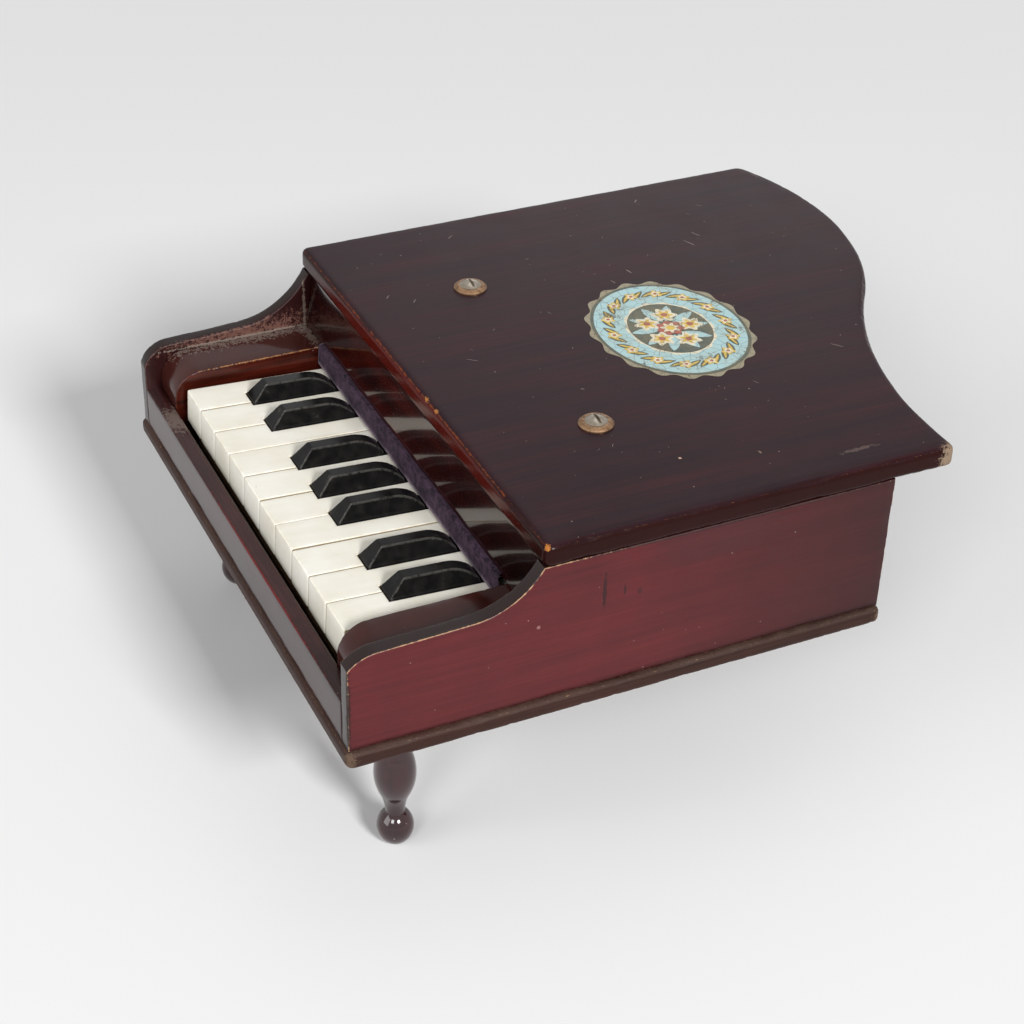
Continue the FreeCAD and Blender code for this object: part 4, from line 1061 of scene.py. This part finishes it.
def cap_height(x, y):
    """Smooth minimum, -log(sum(exp(-k h))) / k, of the heights h of five surfaces.

    They are the nose's slope, the flat top, the two side slopes as one, the heel's arc and the heel's end.
    """
    fall = CAP_RISE - HEEL_RISE
    heel_radius = (HEEL_RUN ** 2 + fall ** 2) / (2 * fall)
    past = np.clip(y - (CAP_HEEL - HEEL_RUN), 0, heel_radius * 0.999)
    slopes = np.stack([
        (y - CAP_NOSE) * CAP_RISE / NOSE_RUN,
        np.full_like(y, CAP_RISE),
        (CAP_WIDTH / 2 - abs(x)) * CAP_RISE / ((CAP_WIDTH - CAP_TOP_WIDTH) / 2),
        CAP_RISE - heel_radius + np.sqrt(heel_radius ** 2 - past ** 2) + HEEL_LIFT,
        (CAP_HEEL - y) * END_SLOPE,
    ])
    slopes = np.maximum(slopes, LOWEST)
    return np.maximum(0, -np.log(np.exp(-SHARPNESS * slopes).sum(0)) / SHARPNESS)


print("a black cap rises", CAP_RISE, "mm over", round(CAP_HEEL - CAP_NOSE, 1), "mm")

# %% [markdown]
# The black is spirit lacquer over the wood. It is glossy and shows dust sooner than any other colour. Along
# the arrises it is painted paler: grey where fingers slide off, and a painted highlight.

# %% Black lacquer
def black_lacquer():
    """Brushed black spirit lacquer: deep black, dusty in patches, and paler on the arrises as wear and
    painted highlight.
    """
    finish, tree, surface = new_finish("black_spirit_lacquer")
    place = add(tree, "TexCoord").outputs["Object"]
    cloud = add(tree, "TexNoise", {"Vector": place, "Scale": per_mm(5), "Detail": 5}).outputs["Fac"]
    peel = add(tree, "TexNoise", {"Vector": place, "Scale": per_mm(1.6), "Detail": 2}).outputs["Fac"]
    tint = add(tree, "ValToRGB", {"Fac": cloud})
    stops = tint.color_ramp.elements
    stops[0].position, stops[1].position = 0.4, 0.66
    stops[0].color, stops[1].color = linear("#101010"), linear("#1b1a19")
    dusty = add(tree, "MapRange", {0: cloud, 1: 0.64, 2: 0.8, 3: 0.0, 4: 0.25}).outputs[0]
    colour = add(tree, "Mix", {0: dusty, 6: tint.outputs[0], 7: linear("#7c756e")}, data_type="RGBA")
    colour = colour.outputs[2]
    # Paler along the arrises: grey wear together with a painted highlight.
    arris = add(tree, "Attribute", attribute_name="arris").outputs["Fac"]
    edge = add(tree, "MapRange", {0: arris, 1: 0.0, 2: 0.7, 3: 0.2, 4: 0.0}).outputs[0]
    worn_and_highlit = add(tree, "MapRange", {0: peel, 1: 0.3, 2: 0.5}).outputs[0]
    edge = add(tree, "Math", {0: edge, 1: worn_and_highlit}, operation="MULTIPLY").outputs[0]
    colour = add(tree, "Mix", {0: edge, 6: colour, 7: linear("#77736d")}, data_type="RGBA").outputs[2]
    rough = add(tree, "MapRange", {0: cloud, 1: 0.35, 2: 0.75, 3: 0.12, 4: 0.26}).outputs[0]
    bump = add(tree, "Bump", {"Height": peel, "Strength": 0.03, "Distance": 0.05 * MM}).outputs[0]
    fill(tree, surface, {"Base Color": colour, "Roughness": rough, "Normal": bump,
                         "Specular IOR Level": 0.14})
    return finish


lacquer = black_lacquer()
print("black lacquer has", len(lacquer.node_tree.nodes), "nodes")

# %% [markdown]
# The whole lever is one surface: the heights over its top, then walls down to a flat underside. The rows and
# columns of the grid stand close together where one slope turns into the next, and wide apart elsewhere.

# %% Black keys
# A bend as sharp as this counts as the arris itself.
SHARP_BEND = 2.0


def black_key(x_middle):
    """The cap's heights over the lever's whole top, then walls down to a flat underside."""
    half = CAP_WIDTH / 2
    near = np.concatenate([np.linspace(half, 3.0, 8), np.linspace(2.85, 1.5, 10), [0.9, 0.4]])
    xs = np.concatenate([-near, [0.0], near[::-1]])
    nose, nose_end = np.linspace(CAP_NOSE, 34.6, 12), np.linspace(34.8, 37.2, 10)
    flat = np.linspace(39, 49, 6)
    heel, heel_end = np.linspace(50.4, 62.6, 20), [62.8, 63.0, 63.1, CAP_HEEL, 63.4]
    ys = np.concatenate([nose, nose_end, flat, heel, heel_end, [80.0, 100.0, KEY_TAIL]])
    y, x = np.meshgrid(ys, xs, indexing="ij")
    z = cap_height(x, y)
    top = np.stack([x, y - WIRE[1], z + KEY_HEIGHT / 2], -1)
    rows, columns = z.shape
    index = np.arange(rows * columns).reshape(rows, columns)
    rim = np.concatenate([index[0, :-1], index[:-1, -1], index[-1, :0:-1], index[:0:-1, 0]])
    points = top.reshape(-1, 3)
    foot = points[rim] * [1, 1, 0] - [0, 0, KEY_HEIGHT / 2]
    feet = rows * columns + np.arange(len(rim))
    walls = np.stack([rim, feet, np.roll(feet, -1), np.roll(rim, -1)], 1)
    faces = grid_quads(rows, columns, False)[:, ::-1].tolist() + walls.tolist() + [feet[::-1].tolist()]
    points = np.concatenate([points, foot]) @ key_axes() + [x_middle, WIRE[1], WIRE[2]]
    # The arris is where the top bends most from side to side.
    bend = abs(np.gradient(np.gradient(z, xs, axis=1), xs, axis=1)).ravel()
    bend = np.concatenate([bend, np.zeros(len(rim))])
    return points, faces, np.clip(SHARP_BEND - bend, 0, SHARP_BEND)


for number in range(1, BLACK_COUNT + 1):
    node = f"black_key_{number}"
    low, high = box_mm(node)
    shape = black_key((low[0] + high[0]) / 2)
    add_piece(f"ebony_key_{number}", shape, lacquer, node, [node])
print("black keys:", BLACK_COUNT)

# %% [markdown]
# Wool has no clear highlight. Its pile catches light at the edge of sight, which a sheen gives, and it goes
# pale and thin where it is folded. One function serves the velvet strip and the felts inside the case.

# %% Wool
def wool(name, colours, worn, sheen, sheen_tint, pile):
    """Felted or velvet wool: mottled colour, a paler worn fold and a pile of this size in mm.

    Real pile is about a tenth of a millimetre fine. It is drawn coarser, so that it shows in the render.
    """
    finish, tree, surface = new_finish(name)
    place = add(tree, "TexCoord").outputs["Object"]
    patch = add(tree, "TexNoise", {"Vector": place, "Scale": per_mm(3), "Detail": 5, "Roughness": 0.75})
    patch = patch.outputs["Fac"]
    fibre = add(tree, "TexNoise", {"Vector": place, "Scale": per_mm(pile), "Detail": 2}).outputs["Fac"]
    both = add(tree, "Mix", {0: 0.4, 2: patch, 3: fibre}).outputs[0]
    tint = add(tree, "ValToRGB", {"Fac": both})
    stops = tint.color_ramp.elements
    stops[0].position, stops[1].position = 0.43, 0.57
    stops[0].color, stops[1].color = linear(colours[0]), linear(colours[1])
    fold = add(tree, "Attribute", attribute_name="arris").outputs["Fac"]
    bald = add(tree, "MapRange", {0: fold, 1: 0.2, 2: 1.9, 3: 1.5, 4: 0.0}).outputs[0]
    bald = add(tree, "Math", {0: bald, 1: fibre}, operation="MULTIPLY").outputs[0]
    colour = add(tree, "Mix", {0: bald, 6: tint.outputs[0], 7: linear(worn)}, data_type="RGBA").outputs[2]
    bump = add(tree, "Bump", {"Height": both, "Strength": 0.6, "Distance": 0.25 * MM}).outputs[0]
    fill(tree, surface, {"Base Color": colour, "Normal": bump, "Roughness": 0.9, "Specular IOR Level": 0.1,
                         "Sheen Weight": sheen, "Sheen Roughness": 0.45, "Sheen Tint": linear(sheen_tint)})
    return finish


velvet = wool("purple_velvet", ("#120c16", "#463444"), "#8a7c86", 0.3, "#ab9cac", 0.5)
print("velvet has", len(velvet.node_tree.nodes), "nodes")

# %% [markdown]
# A strip of velvet hides the slot between the keys and the nameboard. It was glued to the board, folded over
# its own top and bottom edges, and cut a little askew at the treble end, where it frays.
# Cloth that is folded has a section, so the strip is that section carried along the board: back over the top,
# down the front and back under. A Solidify modifier gives it the thickness of the cloth.

# %% Velvet strip
strip_low, strip_high = box_mm("nameboard_felt")
CLOTH_THICKNESS = 0.5
STRIP_LEAN = 0.45
LOWER_LAP = 1.8
FOLD_EASE = 0.8
END_SLANT = 3.0
# How far the cloth puckers off the board, and how far its top edge rises and falls.
PUCKER, TOP_WAVE = 0.12, 0.15
STRIP_ROWS, STRIP_COLUMNS = 30, 150


def felt_strip(rows, columns):
    """The folded section at equal steps, carried from bass to treble, with the upper edge cut shorter.

    Returns points, faces and distance from the lower fold, and the section's length in mm.
    """
    front, foot = strip_low[1:]
    rear, top = strip_high[1:]
    corners = [(rear, top), (front + STRIP_LEAN, top), (front, foot), (front + LOWER_LAP, foot)]
    upper, lower = eased(*corners[:3], FOLD_EASE), eased(*corners[1:], FOLD_EASE)
    path = np.concatenate([corners[:1], upper, lower, corners[3:]])
    walked = np.concatenate([[0], np.cumsum(np.linalg.norm(np.diff(path, axis=0), axis=1))])
    steps = np.linspace(0, walked[-1], rows)
    section = np.stack([np.interp(steps, walked, path[:, k]) for k in (0, 1)], 1)
    height = (section[:, 1] - foot) / (top - foot)
    far = strip_high[0] - END_SLANT * height
    share = np.linspace(0, 1, columns)
    x = strip_low[0] + (far - strip_low[0])[:, None] * share
    points = np.stack([x, *np.broadcast_arrays(section[:, :1], section[:, 1:], x)[:2]], -1).reshape(-1, 3)
    points[:, 1] += PUCKER + PUCKER * waver(points, 17, 51)
    points[:, 2] += TOP_WAVE * waver(points[:, :1], 31, 52) * np.repeat(height, columns)
    fold = np.repeat(abs(steps - walked[-1] + LOWER_LAP), columns)
    return (points, grid_quads(rows, columns, False).tolist(), fold), walked[-1]


strip_shape, strip_width = felt_strip(STRIP_ROWS, STRIP_COLUMNS)
strip = add_piece("velvet_strip", strip_shape, velvet, "case", ["nameboard_felt"])
solid = strip.modifiers.new("cloth", "SOLIDIFY")
solid.thickness = CLOTH_THICKNESS * MM
solid.offset = -1.0
print("velvet strip is", round(strip_width, 1), "mm wide before it is folded")

# %% [markdown]
# The strip frays at its cut end and along its upper fold. The pile is too fine to model, but these few loose
# threads show. Hair curves could draw them. Plain strands are meshes like all the other pieces, so they
# count in its size and stay with the case.

# %% Frayed threads
# Rows of the strip that fray, at its cut end and along its upper fold.
END_ROWS, TOP_ROWS = (3, 26), (3, 6)
THREAD_COUNT = 80
# A thread is as worn as cloth that lies this far from the fold.
THREAD_FOLD = 0.6


def threads(roots, ways, lengths, width, seed):
    """Three-sided tapering strands of four rings: root + way times length times t, with a sine curl aside."""
    rng = np.random.default_rng(seed)
    count, rings = len(roots), 4
    t = np.linspace(0, 1, rings)
    aside = np.cross(ways, (0.3, 0.5, 0.8))
    aside /= np.linalg.norm(aside, axis=1, keepdims=True)
    curl = rng.uniform(-0.4, 0.4, count)[:, None] * lengths[:, None] * np.sin(np.pi * t)
    along = (lengths[:, None] * t)[..., None] * ways[:, None]
    spine = roots[:, None] + along + curl[..., None] * aside[:, None]
    turn = np.arange(3) * 2 * np.pi / 3
    third = np.cross(ways, aside)
    ring = np.cos(turn)[:, None] * aside[:, None] + np.sin(turn)[:, None] * third[:, None]
    points = spine[:, :, None] + (width * (1 - 0.7 * t))[:, None, None] * ring[:, None]
    ends = np.array([[2, 1, 0], [9, 10, 11]])
    sides = grid_quads(rings, 3, True)[:, ::-1]
    starts = 3 * rings * np.arange(count)
    faces = (starts[:, None, None] + sides).reshape(-1, 4).tolist()
    faces += (starts[:, None, None] + ends).reshape(-1, 3).tolist()
    return points.reshape(-1, 3), faces, np.full(3 * rings * count, THREAD_FOLD)


draw = np.random.default_rng(53)
half_count = THREAD_COUNT // 2
cloth = strip_shape[0].reshape(STRIP_ROWS, STRIP_COLUMNS, 3)
end_roots = cloth[draw.integers(*END_ROWS, half_count), -1]
top_roots = cloth[draw.integers(*TOP_ROWS, half_count), draw.integers(2, STRIP_COLUMNS - 2, half_count)]
end_ways = draw.normal((1.0, -0.1, -0.2), 0.45, (half_count, 3))
top_ways = draw.normal((0.0, -0.7, 0.5), 0.4, (half_count, 3))
ways = np.concatenate([end_ways, top_ways])
ways /= np.linalg.norm(ways, axis=1, keepdims=True)
end_lengths = draw.uniform(0.6, 2.0, half_count)
top_lengths = draw.uniform(0.3, 0.8, half_count)
lengths = np.concatenate([end_lengths, top_lengths])
fray_shape = threads(np.concatenate([end_roots, top_roots]), ways, lengths, 0.05, 54)
fray = add_piece("frayed_threads", fray_shape, velvet, "case")
print("loose threads:", THREAD_COUNT)

# %% [markdown]
# Two more strips of pressed felt lie on rails inside the case, where the keys land and rest, to keep the
# keys quiet. They are plain: cut from a sheet and glued flat, so a thin board with soft edges is enough.

# %% Rail felts
green_felt = wool("green_pressed_felt", ("#2c3d2c", "#4d6147"), "#6f7f66", 0.25, "#b9c9b0", 0.8)
for node, rail, seed in (("key_stop_felt", "key_stop_rail", 61), ("key_rest_felt", "key_rest_rail", 62)):
    low, high = box_mm(node)
    shape = board(spread(rectangle(low, high), BOARD_STEP), high[2] - low[2], (0.5, 0.2), (0, 0, low[2]),
                  LYING, nicks=0.2, seed=seed)
    cushion = add_piece("laid_" + node, shape, green_felt, "case", [node])
print("rail felts are", np.round(high - low, 1), "mm")

# %% [markdown]
# A printed transfer decorates the lid: an oval garland with a posy in the middle, in six flat inks.
# A transfer is a film slid off wet paper, so it has no thickness to speak of and its inks lie one on another.
# Each ink is a set of flat shapes, and every shape is one polar formula with its own turn and size. They are
# stacked a few hundredths of a millimetre apart and carry their ink as a colour attribute.

# %% Printed shapes
INKS = {"taupe": "#8a836f", "green": "#2b3e3b", "blue": "#a3c9cf", "yellow": "#d6b44c", "cream": "#e2dac2",
        "red": "#a24a42"}
OVAL_MIDDLE = np.array([1.0, 172.0])
OVAL_HALF = np.array([37.5, 30.5])
INK_STEP = 0.03
prints = []


def printed(ink, layer, centres, halves, turns=0.0, lobes=1, depth=0.0, point=0.0, steps=36):
    """Flat shapes of one ink, each sized, turned and put at its centre.

    The rim is (r cos a, r sin a |sin a|^point), with r = 1 - depth (1 - cos(lobes a)) / 2.
    """
    angle = np.linspace(0, 2 * np.pi, steps, endpoint=False)
    reach = 1 - depth * (1 - np.cos(lobes * angle)) / 2
    rim = np.stack([reach * np.cos(angle), reach * np.sin(angle) * abs(np.sin(angle)) ** point], 1)
    rim = np.concatenate([[(0, 0)], rim]) * halves
    centres = np.atleast_2d(centres)
    turns = np.broadcast_to(turns, len(centres))[:, None]
    x, y = rim.T
    flat = np.stack([x * np.cos(turns) - y * np.sin(turns), x * np.sin(turns) + y * np.cos(turns)], -1)
    flat += centres[:, None]
    level = np.full((*flat.shape[:2], 1), lid_high[2] + INK_STEP * layer)
    fan = np.stack([np.zeros(steps, int), 1 + np.arange(steps), 1 + (1 + np.arange(steps)) % steps], 1)
    faces = (np.arange(len(centres)) * (steps + 1))[:, None, None] + fan
    prints.append((np.concatenate([flat, level], -1).reshape(-1, 3), faces.reshape(-1, 3), linear(INKS[ink])))


def on_oval(share, count, start=0.0):
    """Places and headings of count points round the oval, at a share of its half axes."""
    angle = start + np.arange(count) * 2 * np.pi / count
    ring = np.stack([np.cos(angle), np.sin(angle)], 1) * OVAL_HALF * share
    return OVAL_MIDDLE + ring, np.arctan2(np.cos(angle) * OVAL_HALF[1], -np.sin(angle) * OVAL_HALF[0])


print("inks:", list(INKS))

# %% [markdown]
# The inks go down as a printer lays them: the ground first, then the garland, and the posy over that.
# Each line is one set of like shapes, so the whole picture reads as a list.

# %% Garland and posy
printed("taupe", 1, OVAL_MIDDLE, OVAL_HALF, lobes=18, depth=0.06, steps=180)
printed("green", 2, OVAL_MIDDLE, OVAL_HALF * 0.93, steps=90)
printed("blue", 3, OVAL_MIDDLE, OVAL_HALF * 0.89, steps=90)
places, headings = on_oval(0.72, 28)
printed("green", 4, places, (4.2, 1.4), headings + 0.6, point=0.8)
printed("yellow", 5, places, (3.2, 0.5), headings + 0.6, point=0.5)
places, headings = on_oval(0.72, 14, np.pi / 28)
printed("yellow", 6, places, (2.9, 2.9), headings, lobes=5, depth=0.4)
printed("cream", 7, places, (1.9, 1.9), headings, lobes=5, depth=0.4)
printed("red", 8, places, (0.7, 0.7))
printed("cream", 4, OVAL_MIDDLE, OVAL_HALF * 0.54, lobes=14, depth=0.05, steps=140)
printed("green", 5, OVAL_MIDDLE, OVAL_HALF * 0.5, steps=90)
places, headings = on_oval(0.3, 10, 0.2)
printed("blue", 6, places, (6.0, 2.1), headings + np.pi / 2, point=0.9)
places, headings = on_oval(0.27, 5, np.pi / 10)
printed("cream", 7, places, (5.2, 5.2), headings, lobes=6, depth=0.35)
printed("yellow", 8, places, (3.4, 3.4), headings, lobes=6, depth=0.5)
printed("red", 9, places, (1.3, 1.3))
printed("red", 8, OVAL_MIDDLE, (5.6, 5.6), 0.3, lobes=7, depth=0.25)
printed("cream", 9, OVAL_MIDDLE, (3.9, 3.9), 0.7, lobes=7, depth=0.45)
printed("yellow", 10, OVAL_MIDDLE, (1.7, 1.7))
print("transfer:", len(prints), "sets of shapes")

# %% [markdown]
# Old transfers yellow under their varnish, craze in fine lines and flake off, and the dark lid shows where
# the film has gone. The shapes could be cut away there, but a change of colour with a slight dip looks the
# same.

# %% Transfer film
def transfer_film():
    """Flat printing inks under yellowed varnish, crazed and flaked so that the dark lid shows through."""
    finish, tree, surface = new_finish("printed_transfer")
    place = add(tree, "TexCoord").outputs["Object"]
    ink = add(tree, "Attribute", attribute_name="ink").outputs["Color"]
    cloud = add(tree, "TexNoise", {"Vector": place, "Scale": per_mm(7), "Detail": 6, "Roughness": 0.7})
    cloud = cloud.outputs["Fac"]
    grain = add(tree, "TexNoise", {"Vector": place, "Scale": per_mm(0.5), "Detail": 2}).outputs["Fac"]
    aged = add(tree, "MapRange", {0: cloud, 1: 0.35, 2: 0.7, 3: 0.05, 4: 0.35}).outputs[0]
    colour = add(tree, "Mix", {0: aged, 6: ink, 7: linear("#a5925f")}, data_type="RGBA").outputs[2]
    crack = add(tree, "TexVoronoi", {"Vector": place, "Scale": per_mm(4.5)}, feature="DISTANCE_TO_EDGE")
    crack = crack.outputs["Distance"]
    crazed = add(tree, "MapRange", {0: crack, 1: 0.035, 2: 0.015, 3: 0.0, 4: 0.45}).outputs[0]
    loss = add(tree, "Mix", {0: 0.35, 2: cloud, 3: grain}).outputs[0]
    flaked = add(tree, "MapRange", {0: loss, 1: 0.58, 2: 0.62, 3: 0.0, 4: 0.9}).outputs[0]
    gone = add(tree, "Math", {0: crazed, 1: flaked}, operation="MAXIMUM").outputs[0]
    colour = add(tree, "Mix", {0: gone, 6: colour, 7: linear("#2a1a1c")}, data_type="RGBA").outputs[2]
    bump = add(tree, "Bump", {"Height": gone, "Strength": 0.3, "Distance": 0.04 * MM}, invert=True).outputs[0]
    fill(tree, surface, {"Base Color": colour, "Normal": bump, "Roughness": 0.42})
    return finish


counts = np.array([len(points) for points, _, _ in prints])
starts = np.cumsum(counts) - counts
transfer_points = np.concatenate([points for points, _, _ in prints])
transfer_faces = np.concatenate([faces + start for (_, faces, _), start in zip(prints, starts)]).tolist()
transfer_shape = (transfer_points, transfer_faces, np.full(len(transfer_points), NO_ARRIS))
transfer = add_piece("lid_transfer", transfer_shape, transfer_film(), "case")
inks = np.repeat([ink for _, _, ink in prints], counts, axis=0).astype(np.float32)
transfer.data.attributes.new("ink", "FLOAT_COLOR", "POINT").data.foreach_set("color", inks.ravel())
print("transfer:", len(transfer_faces), "faces")

# %% [markdown]
# The metal pieces keep the construction model's own shapes, because turned and drawn metal is as plain as
# that: nickel-plated screws, brass cup washers, steel wires and rods, and an iron casting that holds them.
# What the eye reads is the finish. Plate goes cloudy, brass goes brown in the hollows and steel spots.

# %% Metals and bare wood
def metal(name, bright, dull, roughness, patch):
    """Metal that is bright where it is rubbed and dull in patches of this size in mm."""
    finish, tree, surface = new_finish(name)
    place = add(tree, "TexCoord").outputs["Object"]
    cloud = add(tree, "TexNoise", {"Vector": place, "Scale": per_mm(patch), "Detail": 6, "Roughness": 0.65})
    cloud = cloud.outputs["Fac"]
    grit = add(tree, "TexNoise", {"Vector": place, "Scale": per_mm(0.4), "Detail": 2}).outputs["Fac"]
    stained = add(tree, "MapRange", {0: cloud, 1: 0.42, 2: 0.66}).outputs[0]
    colour = add(tree, "Mix", {0: stained, 6: linear(bright), 7: linear(dull)}, data_type="RGBA").outputs[2]
    rough = add(tree, "MapRange", {0: cloud, 1: 0.35, 2: 0.7, 3: roughness, 4: roughness + 0.2}).outputs[0]
    bump = add(tree, "Bump", {"Height": grit, "Strength": 0.15, "Distance": 0.04 * MM}).outputs[0]
    fill(tree, surface, {"Base Color": colour, "Roughness": rough, "Normal": bump, "Metallic": 1.0})
    return finish


nickel = metal("nickel_plate", "#a69d90", "#857a6b", 0.22, 2.5)
brass = metal("tarnished_brass", "#a08064", "#735841", 0.36, 2.0)
steel = metal("drawn_steel", "#a3a5a8", "#75695e", 0.3, 6.0)
iron = metal("cast_iron", "#4b4a4a", "#3a3532", 0.55, 5.0)
PINE = ("#b98f58", "#cba671", "#d9bb8a")
pine = stained_wood("planed_pine", 1, PINE, 0.65, wear=0.0, specks=0.0, mottle=0.1)
rail_pine = stained_wood("planed_pine_rail", 0, PINE, 0.65, wear=0.0, specks=0.0, mottle=0.1)
HAMMER_COUNT = WHITE_COUNT + BLACK_COUNT
KEPT = {
    "lid_screws": nickel, "lid_washers": brass, "sound_bar": iron,
    "tone_rods": steel, "key_wire": steel, "hammer_wire": steel,
    "hammer_rail": rail_pine, "key_stop_rail": rail_pine, "key_rest_rail": rail_pine,
}
KEPT.update({f"hammer_{n}": pine for n in range(1, HAMMER_COUNT + 1)})
for node, finish in KEPT.items():
    for material_slot in frame["nodes"][node].material_slots:
        material_slot.material = finish
print("finishes given to", len(KEPT), "construction pieces")
